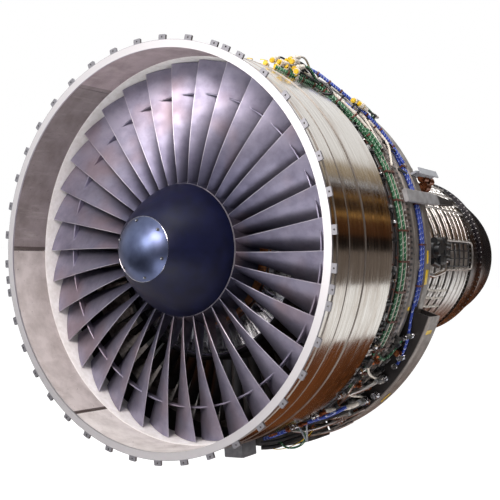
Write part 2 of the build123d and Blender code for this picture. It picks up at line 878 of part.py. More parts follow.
# Fuel nozzles, one solid each, and the ring pipe that feeds them
manifold_r = 556.0
manifold_pipe_r = 11.0
with BuildPart() as fuel_nozzle:
    nozzle_plane = Plane(origin=(0, fuel_nozzle_y, 0), x_dir=(0, 1, 0), z_dir=(0, 0, 1))
    with BuildSketch(nozzle_plane.offset(430)):
        Circle(fuel_nozzle_r)
    extrude(amount=burner_r - 430)
    with BuildSketch(nozzle_plane.offset(burner_r + seat_gap)):
        Rectangle(34, 40)
    extrude(amount=8)
    with BuildSketch(nozzle_plane.offset(burner_r - 1)):
        Circle(fuel_nozzle_r)
    extrude(amount=manifold_r - manifold_pipe_r - seat_gap - burner_r + 1)
with BuildPart() as feed_ring:
    with BuildSketch(Plane.XY):
        with Locations((manifold_r, fuel_nozzle_y)):
            Circle(manifold_pipe_r)
    revolve(axis=Axis.Y)
fuel_manifold = Compound([feed_ring.part, *around(fuel_nozzle.part, nozzle_count, 6).solids()])
save(fuel_manifold, "fuel_manifold")

# High-pressure turbine case with one stator row
turbine_wall = 14.0
hpt_flange_r = 668.0
hpt_stage_y = (2550.0, 2618.0)
hpt_row_t = 26.0
with BuildPart() as hpt_case:
    with BuildSketch(Plane.XY):
        with BuildLine():
            Polyline(
                (burner_r - burner_wall, burner_end_y + seat_gap),
                (burner_r + case_flange_h, burner_end_y + seat_gap),
                (burner_r + case_flange_h, burner_end_y + 14),
                (hpt_r - 16, burner_end_y + 20),
                (hpt_r + turbine_wall, hpt_end_y - 50),
                (hpt_flange_r - 40, hpt_end_y - 16),
                (hpt_flange_r, hpt_end_y - 14),
                (hpt_flange_r, hpt_end_y),
                (lpt_front_r - 60, hpt_end_y),
                (hpt_r, hpt_end_y - 40),
                (hpt_r - 30, burner_end_y + 26),
                close=True,
            )
        make_face()
        with Locations(((410 + hpt_r - 6) / 2, (hpt_stage_y[0] + hpt_stage_y[1]) / 2)):
            Rectangle(hpt_r - 6 - 410, 30)
    revolve(axis=Axis.Y)
save(hpt_case.part, "hpt_case")

# High-pressure turbine rotor: two disks on a sleeve, blade rows as plain rings
with BuildPart() as hpt_rotor:
    with BuildSketch(Plane.XY):
        with Locations(((core_journal_r + seat_gap + 160) / 2, 2592)):
            Rectangle(160 - core_journal_r - seat_gap, 120)
        for y, top in ((hpt_stage_y[0], hpt_r - 44), (hpt_stage_y[1], hpt_r - 12)):
            with Locations(((150 + top) / 2, y)):
                Rectangle(top - 150, hpt_row_t)
    revolve(axis=Axis.Y)
save(hpt_rotor.part, "hpt_rotor")


def lpt_outer_r(y):
    """Outside radius of the low-pressure turbine case."""
    if y < lpt_knee_y:
        return line_r(y, hpt_end_y, lpt_front_r, lpt_knee_y, lpt_rear_r)
    return lpt_rear_r


# Low-pressure turbine case with stator rows between the rotor rows
lpt_rows = 5
lpt_first_y = 2775.0
lpt_pitch = 170.0
lpt_drum_r = 490.0
lpt_flange_r = 798.0
with BuildPart() as lpt_case:
    with BuildSketch(Plane.XY):
        with BuildLine():
            Polyline(
                (lpt_front_r - 60, hpt_end_y + seat_gap),
                (hpt_flange_r, hpt_end_y + seat_gap),
                (hpt_flange_r, hpt_end_y + 14),
                (lpt_outer_r(hpt_end_y + 20), hpt_end_y + 20),
                (lpt_rear_r, lpt_knee_y),
                (lpt_rear_r, lpt_end_y - 20),
                (lpt_flange_r, lpt_end_y - 16),
                (lpt_flange_r, lpt_end_y),
                (lpt_rear_r - turbine_wall, lpt_end_y),
                (lpt_rear_r - turbine_wall, lpt_knee_y),
                (lpt_front_r - turbine_wall, hpt_end_y + 30),
                close=True,
            )
        make_face()
        for k in range(lpt_rows - 1):
            y = lpt_first_y + (k + 0.5) * lpt_pitch
            high = lpt_outer_r(y) - turbine_wall + 4
            low = lpt_drum_r + running_gap
            with Locations(((low + high) / 2, y)):
                Rectangle(high - low, 60)
    revolve(axis=Axis.Y)
save(lpt_case.part, "lpt_case")

# Low-pressure turbine rotor: drum and cone on the shaft; the last row has its blades cut out
last_blades = 72
last_y = lpt_first_y + (lpt_rows - 1) * lpt_pitch
last_tip_r = lpt_rear_r - turbine_wall - running_gap
with BuildPart() as lpt_rotor:
    with BuildSketch(Plane.XY):
        with BuildLine():
            Polyline(
                (lpt_drum_r - 16, lpt_first_y - 40),
                (lpt_drum_r, lpt_first_y - 40),
                (lpt_drum_r, last_y + 40),
                (lpt_drum_r - 16, last_y + 40),
                (lpt_drum_r - 16, last_y - 90),
                (120, last_y - 10),
                (120, last_y + 40),
                (fan_shaft_r + bearing_gap, last_y + 40),
                (fan_shaft_r + bearing_gap, last_y - 50),
                (110, last_y - 50),
                (lpt_drum_r - 16, last_y - 140),
                close=True,
            )
        make_face()
        for k in range(lpt_rows - 1):
            y = lpt_first_y + k * lpt_pitch
            high = lpt_outer_r(y - 30) - turbine_wall - running_gap - 4
            with Locations(((lpt_drum_r - 6 + high) / 2, y)):
                Rectangle(high - lpt_drum_r + 6, 60)
    revolve(axis=Axis.Y)
    with BuildSketch(station(last_y - 30)):
        with PolarLocations((lpt_drum_r - 6 + last_tip_r) / 2, last_blades):
            Rectangle(last_tip_r - lpt_drum_r + 6, 6)
    extrude(amount=60)
save(lpt_rotor.part, "lpt_rotor")

# Cooling tubes: rings round the turbine case on standing rails, joined to two feed boxes
tube_r = 13.0
tube_lift = 26.0
tube_ys = (2720.0, 2822.0, 2924.0, 3026.0, 3128.0, 3230.0, 3332.0, 3434.0, 3536.0)
rail_count = 8
with BuildPart() as cooling_tubes:
    with BuildSketch(Plane.XY):
        for y in tube_ys:
            with Locations((lpt_outer_r(y) + tube_lift, y)):
                Circle(tube_r)
    revolve(axis=Axis.Y)
    for k in range(rail_count):
        with BuildSketch(meridian(22.5 + k * 45)):
            with BuildLine():
                Polyline(
                    (lpt_outer_r(tube_ys[0] - 12) + 1, tube_ys[0] - 12),
                    (lpt_outer_r(tube_ys[0] - 12) + tube_lift, tube_ys[0] - 12),
                    (lpt_rear_r + tube_lift, lpt_knee_y),
                    (lpt_rear_r + tube_lift, tube_ys[-1] + 12),
                    (lpt_rear_r + seat_gap, tube_ys[-1] + 12),
                    (lpt_rear_r + seat_gap, lpt_knee_y),
                    close=True,
                )
            make_face()
        extrude(amount=2.5, both=True)
save(cooling_tubes.part, "cooling_tubes")

# Side frame over the tubes: a light grid curved round the axis
grid_r = lpt_rear_r + tube_lift + tube_r + seat_gap
grid_bar = 9.0
grid_first = 78.0
grid_last = 93.0
grid_ys = (2900.0, 3020.0, 3140.0, 3260.0, 3380.0, 3500.0)
with BuildPart() as side_frame:
    with BuildSketch(meridian(grid_first)):
        for y in grid_ys:
            with Locations((grid_r + grid_bar / 2, y)):
                Rectangle(grid_bar, grid_bar)
    revolve(axis=Axis.Y, revolution_arc=grid_last - grid_first)
    for k in range(4):
        with BuildSketch(meridian(grid_first + k * (grid_last - grid_first) / 3)):
            with Locations((grid_r + grid_bar / 2, (grid_ys[0] + grid_ys[-1]) / 2)):
                Rectangle(grid_bar, grid_ys[-1] - grid_ys[0] + grid_bar)
        extrude(amount=grid_bar / 2, both=True)
save(side_frame.part, "side_frame")

# Turbine rear frame: ring, twelve struts and the hub that holds the rear bearing
rear_strut_count = 12
rear_hub_r = 400.0
rear_wall = 12.0
rear_strut_y = lpt_end_y + 70
rear_strut_len = 250.0
with BuildPart() as rear_ring:
    with BuildSketch(Plane.XY):
        with BuildLine():
            Polyline(
                (rear_frame_r - rear_wall, lpt_end_y + seat_gap),
                (lpt_flange_r, lpt_end_y + seat_gap),
                (lpt_flange_r, lpt_end_y + 16),
                (rear_frame_r, lpt_end_y + 20),
                (rear_frame_r, rear_frame_end_y - 18),
                (rear_frame_r + 28, rear_frame_end_y - 14),
                (rear_frame_r + 28, rear_frame_end_y),
                (rear_frame_r - rear_wall, rear_frame_end_y),
                close=True,
            )
        make_face()
    revolve(axis=Axis.Y)
with BuildPart() as rear_hub:
    with BuildSketch(Plane.XY):
        with BuildLine():
            Polyline(
                (rear_hub_r - 30, lpt_end_y + 40),
                (rear_hub_r, lpt_end_y + 40),
                (rear_hub_r, rear_frame_end_y),
                (rear_hub_r - 30, rear_frame_end_y),
                (rear_hub_r - 30, rear_bearing_y + 60),
                (rear_housing_r, rear_bearing_y + 60),
                (rear_housing_r, rear_bearing_y - 10),
                (rear_housing_r + 16, rear_bearing_y - 10),
                (rear_hub_r - 30, rear_bearing_y + 20),
                close=True,
            )
        make_face()
    revolve(axis=Axis.Y)
with BuildPart() as rear_strut:
    with BuildSketch(station(rear_strut_y)):
        with PolarLocations((rear_hub_r + rear_frame_r - rear_wall) / 2, 1, start_angle=-90):
            Rectangle(rear_frame_r - rear_wall - rear_hub_r + 20, 26)
    extrude(amount=rear_strut_len)
    with BuildSketch(Plane.XY):
        with Locations(((rear_hub_r + rear_frame_r - rear_wall) / 2, rear_strut_y + rear_strut_len / 2)):
            Rectangle(rear_frame_r - rear_wall - rear_hub_r - 2 * seat_gap, rear_strut_len)
    revolve(axis=Axis.Y, mode=Mode.INTERSECT)
turbine_rear_frame = Compound(
    [rear_ring.part, rear_hub.part, *around(rear_strut.part, rear_strut_count).solids()]
)
save(turbine_rear_frame, "turbine_rear_frame")

# Exhaust nozzle and plug
nozzle_t = 6.0
with BuildPart() as exhaust_nozzle:
    with BuildSketch(Plane.XY):
        nozzle_y = rear_frame_end_y + seat_gap
        with BuildLine():
            out_line = Spline(
                (rear_frame_r, nozzle_y + 16),
                (line_r(4400, nozzle_y, rear_frame_r + 22, nozzle_end_y, nozzle_exit_r + 12), 4400),
                (nozzle_exit_r, nozzle_end_y),
                tangents=((0, 1), (-0.33, 1)),
            )
            Line(out_line @ 1, (nozzle_exit_r - nozzle_t, nozzle_end_y))
            in_line = Spline(
                (nozzle_exit_r - nozzle_t, nozzle_end_y),
                (line_r(4400, nozzle_y, rear_frame_r + 22, nozzle_end_y, nozzle_exit_r + 12) - nozzle_t, 4400),
                (rear_frame_r - nozzle_t, nozzle_y + 16),
                tangents=((0.33, -1), (0, -1)),
            )
            Polyline(
                (rear_frame_r - nozzle_t, nozzle_y + 16),
                (rear_frame_r - nozzle_t, nozzle_y),
                (rear_frame_r + 28, nozzle_y),
                (rear_frame_r + 28, nozzle_y + 14),
                (rear_frame_r, nozzle_y + 16),
            )
        make_face()
    revolve(axis=Axis.Y)
save(exhaust_nozzle.part, "exhaust_nozzle")
with BuildPart() as exhaust_plug:
    with BuildSketch(Plane.XY):
        with BuildLine():
            plug_line = Spline(
                (rear_hub_r - 2, nozzle_y),
                (plug_r * 0.86, line_r(0.4, 0, nozzle_y, 1, plug_end_y)),
                (0, plug_end_y),
                tangents=((0, 1), (-1, 0.25)),
            )
            Line((0, plug_end_y), (0, plug_end_y - 10))
            Line((0, plug_end_y - 10), (plug_r * 0.8, line_r(0.4, 0, nozzle_y, 1, plug_end_y)))
            Line((plug_r * 0.8, line_r(0.4, 0, nozzle_y, 1, plug_end_y)), (rear_hub_r - 24, nozzle_y))
            Line((rear_hub_r - 24, nozzle_y), plug_line @ 0)
        make_face()
    revolve(axis=Axis.Y)
save(exhaust_plug.part, "exhaust_plug")

# Front mount: beam on the compressor case's front flange, with two lugs
front_flange_top = hpc_front_r + hpc_wall + case_flange_h
front_mount_y = 1540.0
front_mount_r = 640.0
mount_bore_r = 20.0
with BuildPart() as front_mount:
    with BuildSketch(Plane.XZ.offset(-frame_end_y - seat_gap)):
        with BuildLine():
            Polyline(
                (-190, front_mount_r - 40),
                (190, front_mount_r - 40),
                (120, front_flange_top + 24),
                (-120, front_flange_top + 24),
                close=True,
            )
        make_face()
        Circle(front_flange_top + seat_gap, mode=Mode.SUBTRACT)
    extrude(amount=-144)
    for side in (-1, 1):
        with BuildSketch(Plane.YZ.offset(side * 110 - 18)):
            with Locations((front_mount_y, front_mount_r)):
                Circle(48)
            with Locations((front_mount_y, front_mount_r - 30)):
                Rectangle(96, 60)
            with Locations((front_mount_y, front_mount_r)):
                Circle(mount_bore_r, mode=Mode.SUBTRACT)
        extrude(amount=36)
save(front_mount.part, "front_mount")

# Rear mount: saddle on the turbine rear frame with one lug
rear_mount_y = 3800.0
rear_mount_r = 850.0
with BuildPart() as rear_mount:
    with BuildSketch(station(rear_mount_y - 60)):
        with Locations((0, -(rear_frame_r + 30))):
            Rectangle(300, 90)
        with Locations((0, -rear_mount_r)):
            Circle(46)
        with Locations((0, -(rear_mount_r - 30))):
            Rectangle(92, 60)
        Circle(rear_frame_r + seat_gap, mode=Mode.SUBTRACT)
        with Locations((0, -rear_mount_r)):
            Circle(mount_bore_r, mode=Mode.SUBTRACT)
    extrude(amount=120)
save(rear_mount.part, "rear_mount")

# Unison rings of the variable vanes, joined by a link bar, and the actuator beside them
unison_ys = (1520.0, 1600.0, 1680.0)
unison_h = 16.0
unison_w = 18.0
link_angle = 250.0
actuator_r = 505.0
rod_r = 9.0


def unison_bore(y):
    return hpc_wall_r(y - unison_w / 2) + hpc_wall + seat_gap


with BuildPart() as unison_rings:
    with BuildSketch(Plane.XY):
        for y in unison_ys:
            with Locations((unison_bore(y) + unison_h / 2, y)):
                Rectangle(unison_h, unison_w)
    revolve(axis=Axis.Y)
    with BuildSketch(meridian(link_angle)):
        with Locations((unison_bore(unison_ys[0]) + unison_h + 3, (unison_ys[0] + unison_ys[2]) / 2)):
            Rectangle(10, unison_ys[2] - unison_ys[0] + unison_w)
    extrude(amount=10, both=True)
save(unison_rings.part, "unison_rings")

actuator_front_y = 1570.0
actuator_len = 170.0
rod_travel = 40.0
with BuildPart() as vane_actuator:
    with BuildSketch(station(actuator_front_y)):
        with PolarLocations(actuator_r, 1, start_angle=link_angle + 12 - 90):
            Circle(26)
            Circle(rod_r + bearing_gap, mode=Mode.SUBTRACT)
    extrude(amount=actuator_len)
    actuator_foot_r = hpc_wall_r(actuator_front_y + actuator_len) + hpc_wall + seat_gap
    with BuildSketch(station(actuator_front_y + actuator_len)):
        with PolarLocations((actuator_foot_r + actuator_r + 20) / 2, 1, start_angle=link_angle + 12 - 90):
            Rectangle(actuator_r + 20 - actuator_foot_r, 52)
    extrude(amount=22)
save(vane_actuator.part, "vane_actuator")
with BuildPart() as actuator_rod:
    with BuildSketch(station(actuator_front_y - rod_travel - 14)):
        with PolarLocations(actuator_r, 1, start_angle=link_angle + 12 - 90):
            Circle(rod_r)
    extrude(amount=rod_travel + 14 + 90)
    with BuildSketch(station(actuator_front_y - rod_travel - 14)):
        with PolarLocations(actuator_r, 1, start_angle=link_angle + 12 - 90):
            Circle(16)
    extrude(amount=10)
save(actuator_rod.part, "actuator_rod")

# Accessory gearbox under the fan frame, with its units
gearbox_y = 1140.0
gearbox_len = 160.0
gearbox_outer_r = 1392.0
gearbox_arc = 44.0
drive_r = 14.0
drive_y = 1263.0
with BuildPart() as accessory_gearbox:
    with BuildSketch(meridian(152)):
        with Locations(((rib_r + seat_gap + gearbox_outer_r) / 2, gearbox_y + gearbox_len / 2)):
            RectangleRounded(gearbox_outer_r - rib_r - seat_gap, gearbox_len, 12)
    revolve(axis=Axis.Y, revolution_arc=gearbox_arc)
    with BuildSketch(Plane(origin=(0, drive_y, 0), x_dir=(0, 1, 0), z_dir=(0, 0, -1)).offset(rib_r - 6)):
        Circle(drive_r + bearing_gap)
    extrude(amount=60, mode=Mode.SUBTRACT)
save(accessory_gearbox.part, "accessory_gearbox")

# Radial drive shaft down the bottom strut; the frame is bored for it
with BuildPart() as frame_bore:
    with BuildSketch(Plane(origin=(0, drive_y, 0), x_dir=(0, 1, 0), z_dir=(0, 0, -1)).offset(hub_bore_r - 20)):
        Circle(drive_r + bearing_gap)
    extrude(amount=rib_r - hub_bore_r + 20)
fan_frame_ring = frame_ring.part - frame_bore.part
save(fan_frame_ring, "fan_frame_ring")
frame_pieces = [frame_wall.part, frame_hub.part]
for k in range(strut_count):
    frame_pieces.append(outer_strut.part.rotate(Axis.Y, k * 360 / strut_count))
    frame_pieces.append(inner_strut.part.rotate(Axis.Y, k * 360 / strut_count))
fan_frame = Compound([solid for piece in frame_pieces for solid in (piece - frame_bore.part).solids()])
save(fan_frame, "fan_frame")
with BuildPart() as radial_drive_shaft:
    with BuildSketch(Plane(origin=(0, drive_y, 0), x_dir=(0, 1, 0), z_dir=(0, 0, -1)).offset(hub_bore_r - 20)):
        Circle(drive_r)
    extrude(amount=rib_r + 40 - hub_bore_r + 20)
    with BuildSketch(Plane(origin=(0, drive_y, 0), x_dir=(0, 1, 0), z_dir=(0, 0, -1)).offset(hub_bore_r - 44)):
        RegularPolygon(34, 20)
    extrude(amount=36, taper=-8)
save(radial_drive_shaft.part, "radial_drive_shaft")


def unit(angle, r, face_y, sizes, forward):
    """Turned accessory unit: (radius, length) steps that stand on a gearbox face."""
    with BuildPart() as body:
        y = face_y
        for step_r, step_len in sizes:
            with BuildSketch(station(y)):
                with PolarLocations(r, 1, start_angle=angle - 90):
                    Circle(step_r)
            extrude(amount=-step_len if forward else step_len)
            y = y - step_len if forward else y + step_len
    return body.part


unit_r = 1336.0
gearbox_rear_y = gearbox_y + gearbox_len
starter = unit(188, unit_r, gearbox_y - seat_gap, ((52, 16), (74, 120), (60, 30)), True)
fuel_pump = unit(176, unit_r, gearbox_y - seat_gap, ((44, 20), (58, 96), (40, 24)), True)
gearbox_front_units = Compound([starter, fuel_pump])
save(gearbox_front_units, "starter_and_fuel_pump")
save(unit(182, unit_r + 6, gearbox_rear_y + seat_gap, ((60, 18), (84, 190), (70, 24)), False), "generator")

# Control unit: box on two feet, low at the front
box_angle = 171.0
box_y = 776.0
with BuildPart() as control_unit:
    with BuildSketch(station(box_y)):
        with PolarLocations(1340, 1, start_angle=box_angle - 90):
            RectangleRounded(118, 150, 8)
    extrude(amount=150)
    with BuildSketch(station(barrel_end_y + 2)):
        for side in (-2.2, 2.2):
            with PolarLocations(aft_front_flange_r + 12 + seat_gap, 1, start_angle=box_angle + side - 90):
                Rectangle(24, 26)
        with PolarLocations(1340, 1, start_angle=box_angle - 90):
            RectangleRounded(112, 146, 8)
        Circle(aft_front_flange_r + seat_gap, mode=Mode.SUBTRACT)
    extrude(amount=18)
save(control_unit.part, "control_unit")

# Oil tank on the left side, curved to the case
with BuildPart() as oil_tank:
    with BuildSketch(meridian(268)):
        with Locations((aft_front_flange_r + seat_gap + 65, 915)):
            RectangleRounded(130, 300, 30)
        for y in (830, 1000):
            with Locations((aft_skin_r + seat_gap + 30, y)):
                Rectangle(60, 24)
    revolve(axis=Axis.Y, revolution_arc=30)
save(oil_tank.part, "oil_tank")

# Harness runs clipped round the case: green, white and blue
skin_seat_r = aft_skin_r + seat_gap
green_r = 10.0
white_r = 8.0
green_ys = (976.0, 1034.0)
white_lag = 22.0
blue_ys = (1296.0, 1332.0)
harness_first = -25.0


def run(ys, pipe_r, first, last):
    """Pipes or harness runs laid on the skin from one angle to another, one solid each."""
    with BuildPart() as pipes:
        with BuildSketch(meridian(first)):
            for y in ys:
                with Locations((skin_seat_r + pipe_r, y)):
                    Circle(pipe_r)
        revolve(axis=Axis.Y, revolution_arc=last - first)
    return pipes.part


save(run(green_ys, green_r, harness_first, 133), "green_harness")
save(run([y + white_lag for y in green_ys], white_r, harness_first, 128), "white_conduits")
save(run(blue_ys, green_r, harness_first, 103), "blue_harness")

# Harness clamps: a bridge over the runs with a foot beside each pair
clamp_t = 12.0
clamp_top_r = skin_seat_r + 2 * green_r + seat_gap
clamp_step = 9.0


def clamp(angle, feet, y0, y1):
    """Bridge clamp at an angle, feet at the given y values."""
    with BuildPart() as piece:
        with BuildSketch(meridian(angle)):
            with Locations((clamp_top_r + 3, (y0 + y1) / 2)):
                Rectangle(6, y1 - y0)
            for y in feet:
                with Locations(((skin_seat_r + clamp_top_r) / 2, y)):
                    Rectangle(clamp_top_r - skin_seat_r, 5)
        extrude(amount=clamp_t / 2, both=True)
    return piece.part


green_clamps = [clamp(harness_first + 6 + k * clamp_step, (962, 1018, 1067), 955, 1070) for k in range(17)]
blue_clamps = [clamp(harness_first + 8 + k * clamp_step * 1.4, (1281, 1314, 1347), 1277, 1351) for k in range(10)]
harness_clamps = Compound(green_clamps + blue_clamps)
save(harness_clamps, "harness_clamps")

# Black case brackets between the barrel and the harness
bracket_y = 796.0
with BuildPart() as case_bracket:
    with BuildSketch(meridian(0)):
        with BuildLine():
            Polyline(
                (skin_seat_r, bracket_y),
                (skin_seat_r + 34, bracket_y + 60),
                (skin_seat_r + 34, bracket_y + 96),
                (skin_seat_r + 24, bracket_y + 96),
                (skin_seat_r + 24, bracket_y + 110),
                (skin_seat_r, bracket_y + 130),
                close=True,
            )
        make_face()
    extrude(amount=5, both=True)
    with BuildSketch(meridian(0)):
        with Locations((skin_seat_r + 4, bracket_y + 65)):
            Rectangle(8, 130)
    extrude(amount=18, both=True)
case_brackets = Compound([case_bracket.part.rotate(Axis.Y, harness_first + k * clamp_step) for k in range(18)])
save(case_brackets, "case_brackets")

# Side arm: tapered beam along the case, reaching aft past the fan frame
arm_angle = 69.5
arm_end_y = 1925.0
arm_a = radians(arm_angle)
arm_dir = (sin(arm_a), 0, cos(arm_a))
with BuildPart() as side_arm:
    arm_base_r = joint_flange_r + seat_gap
    for y, wide, tall in ((joint_y - 20, 84, 30), (frame_end_y + 60, 78, 34), (arm_end_y, 40, 18)):
        mid_r = arm_base_r + tall / 2
        place = Plane(origin=(arm_dir[0] * mid_r, y, arm_dir[2] * mid_r), x_dir=arm_dir, z_dir=(0, 1, 0))
        with BuildSketch(place):
            RectangleRounded(tall, wide, 6)
    loft(ruled=True)
save(side_arm.part, "side_arm")

# Top bracket: plate on the frame's rear band with an eye at its end
eye_r = 11.0
with BuildPart() as top_bracket:
    with BuildSketch(meridian(61)):
        with BuildLine():
            Polyline(
                (frame_rear_r + seat_gap, rear_band_y + 4),
                (frame_rear_r + 40, rear_band_y + 4),
                (frame_rear_r + 62, 1640),
                (frame_rear_r + 62, 1720),
                (frame_rear_r + 10, 1720),
                (frame_rear_r + 10, 1600),
                (frame_rear_r + seat_gap, frame_end_y),
                close=True,
            )
        make_face()
        with Locations((frame_rear_r + 36, 1676)):
            Circle(eye_r, mode=Mode.SUBTRACT)
    extrude(amount=7, both=True)
    with BuildSketch(meridian(61)):
        with Locations((frame_rear_r + 58, 1560)):
            Rectangle(8, 320)
    extrude(amount=24, both=True)
save(top_bracket.part, "top_bracket")

# Service channel: curved U section low on the right side, open towards the axis
channel_first = 104.0
channel_last = 151.0
channel_y = 1280.0
channel_rear_y = 1452.0
channel_r = 1372.0
channel_t = 8.0
with BuildPart() as service_channel:
    with BuildSketch(meridian(channel_first)):
        with BuildLine():
            Polyline(
                (skin_seat_r, channel_y),
                (channel_r - 14, channel_y),
                (channel_r, channel_y + 14),
                (channel_r, channel_rear_y),
                (frame_rear_r + seat_gap, channel_rear_y),
                (frame_rear_r + seat_gap, channel_rear_y - channel_t),
                (channel_r - channel_t, channel_rear_y - channel_t),
                (channel_r - channel_t, channel_y + 18),
                (channel_r - 18, channel_y + channel_t),
                (skin_seat_r, channel_y + channel_t),
                close=True,
            )
        make_face()
    revolve(axis=Axis.Y, revolution_arc=channel_last - channel_first)
save(service_channel.part, "service_channel")

# Round fittings on the channel's front wall, one solid each: angle, radius, size
fitting_places = ((111, 1300, 20), (118, 1310, 24), (126.5, 1300, 26), (132, 1338, 24), (138, 1296, 26), (145, 1334, 22))
fittings = []
for angle, r, size in fitting_places:
    fittings.append(unit(angle, r, channel_y - seat_gap, ((size, 10), (size * 0.7, 26), (size * 0.9, 18)), True))
service_fittings = Compound(fittings)
save(service_fittings, "service_fittings")

# Top connectors: capped couplings standing on the aft case's front flange
connector_places = ((-4, 20), (1, 24), (6, 20), (11, 26), (16, 20), (21, 24), (26, 18))
connectors = []
for angle, size in connector_places:
    a = radians(angle)
    out = Plane(origin=(0, barrel_end_y + 9, 0), x_dir=(0, 1, 0), z_dir=(sin(a), 0, cos(a)))
    with BuildPart() as connector:
        with BuildSketch(out.offset(aft_front_flange_r + seat_gap)):
            Circle(size * 0.3)
        extrude(amount=15)
        with BuildSketch(out.offset(aft_front_flange_r + 14)):
            Circle(size)
        extrude(amount=40)
    connectors.append(connector.part)
top_connectors = Compound(connectors)
save(top_connectors, "top_connectors")

# Bleed valve standing on the burner case, and the pipe that bends round from it
valve_angle = 84.0
valve_y = 2440.0
valve_a = radians(valve_angle)
valve_dir = (sin(valve_a), 0, cos(valve_a))
valve_plane = Plane(origin=(0, valve_y, 0), x_dir=(0, 1, 0), z_dir=valve_dir)
valve_steps = ((58, 14, 0), (46, 200, 14), (66, 16, 214), (46, 60, 230), (62, 90, 290), (36, 40, 380))
with BuildPart() as bleed_valve:
    with BuildSketch(valve_plane.offset(burner_r - 20)):
        Circle(46)
    extrude(amount=30)
    for size, tall, base in valve_steps:
        with BuildSketch(valve_plane.offset(burner_r + 4 + base)):
            Circle(size)
        extrude(amount=tall)
    with BuildSketch(station(0)):
        Circle(burner_r + seat_gap)
    extrude(amount=burner_end_y, mode=Mode.SUBTRACT)
save(bleed_valve.part, "bleed_valve")

elbow_pipe_r = 20.0
elbow_start_r = burner_r + 4 + 335


def at(angle, r, y):
    """Point from its angle round the axis, radius and station."""
    return (r * sin(radians(angle)), y, r * cos(radians(angle)))


with BuildPart() as elbow_pipe:
    with BuildLine() as elbow_route:
        FilletPolyline(
            at(valve_angle, elbow_start_r, valve_y + 62 + seat_gap),
            at(valve_angle, elbow_start_r, valve_y + 330),
            at(valve_angle + 11, elbow_start_r + 10, valve_y + 330),
            at(valve_angle + 14, elbow_start_r - 10, valve_y + 160),
            at(valve_angle + 14, burner_r + 40, valve_y + 20),
            at(valve_angle + 14, burner_r + seat_gap, valve_y + 20),
            radius=36,
        )
    with BuildSketch(Plane(origin=elbow_route.line @ 0, z_dir=elbow_route.line % 0)):
        Circle(elbow_pipe_r)
    sweep()
save(elbow_pipe.part, "elbow_pipe")
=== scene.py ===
from functools import partial
from math import cos, radians, sin, tau

import bmesh
import bpy
from mathutils import Matrix, Vector


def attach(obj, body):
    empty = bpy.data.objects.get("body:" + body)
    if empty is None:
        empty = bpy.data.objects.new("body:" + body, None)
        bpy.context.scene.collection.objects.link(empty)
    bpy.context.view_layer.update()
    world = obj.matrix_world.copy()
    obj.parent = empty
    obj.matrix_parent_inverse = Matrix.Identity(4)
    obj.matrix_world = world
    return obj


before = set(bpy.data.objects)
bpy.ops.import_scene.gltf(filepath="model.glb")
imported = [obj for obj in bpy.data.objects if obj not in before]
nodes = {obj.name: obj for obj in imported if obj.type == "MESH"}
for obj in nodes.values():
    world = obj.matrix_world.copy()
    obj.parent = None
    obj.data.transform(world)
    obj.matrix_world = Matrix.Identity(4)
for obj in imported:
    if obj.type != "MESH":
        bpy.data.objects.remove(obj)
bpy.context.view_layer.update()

scene = bpy.context.scene
scene.view_settings.view_transform = "Standard"
print("stage: frame loaded")


# sRGB hex to the linear colour that shaders want
def paint(hexValue):
    channels = [int(hexValue[i:i + 2], 16) / 255 for i in (1, 3, 5)]
    return (*(c / 12.92 if c <= 0.04045 else ((c + 0.055) / 1.055) ** 2.4 for c in channels), 1.0)


# one node with its settings; an input takes a value, a socket, or a node for its first live output;
# a kind without Node in its name is a shader node, and a ramp gets its stops
def addNode(tree, kind, inputs=(), stops=(), stepped=False, **settings):
    made = tree.nodes.new(kind if "Node" in kind else "ShaderNode" + kind)
    for name, value in settings.items():
        setattr(made, name, value)
    if stops:
        if stepped:
            made.color_ramp.interpolation = "CONSTANT"
        elements = made.color_ramp.elements
        while len(elements) < len(stops):
            elements.new(0.5)
        for element, (position, colour) in zip(elements, stops):
            element.position, element.color = position, paint(colour)
    for key, value in dict(inputs).items():
        if isinstance(value, bpy.types.Node):
            value = next(output for output in value.outputs if output.enabled)
        if isinstance(value, bpy.types.NodeSocket):
            tree.links.new(value, made.inputs[key])
        else:
            made.inputs[key].default_value = value
    return made


# place at an angle from the top, a radius and a station
def polar(angle, r, y):
    a = radians(angle)
    return Vector((r * sin(a), y, r * cos(a)))


# ---- camera: fitted to the rim, the lugs, the blade tips and the spinner joints
camSpec = dict(azimuth=0.7177, elevation=0.0298, yaw=0.1258, pitch=-0.0067, roll=-0.0608,
               place=(3.27752, -3.75466, 0.14864), lens=58.65)
camData = bpy.data.cameras.new("photoCamera")
camera = bpy.data.objects.new("photoCamera", camData)
scene.collection.objects.link(camera)
back = Vector((sin(camSpec["azimuth"]) * cos(camSpec["elevation"]),
               -cos(camSpec["azimuth"]) * cos(camSpec["elevation"]), sin(camSpec["elevation"])))
right = Vector((cos(camSpec["azimuth"]), sin(camSpec["azimuth"]), 0))
rows = Matrix((right, back.cross(right), back))
for name, axis in (("yaw", "Y"), ("pitch", "X"), ("roll", "Z")):
    rows = Matrix.Rotation(camSpec[name], 3, axis) @ rows
camera.matrix_world = Matrix.Translation(camSpec["place"]) @ rows.transposed().to_4x4()
camData.lens = camSpec["lens"]
camData.sensor_width = 36
camData.clip_start, camData.clip_end = 0.05, 200
scene.camera = camera
print("stage: camera placed")

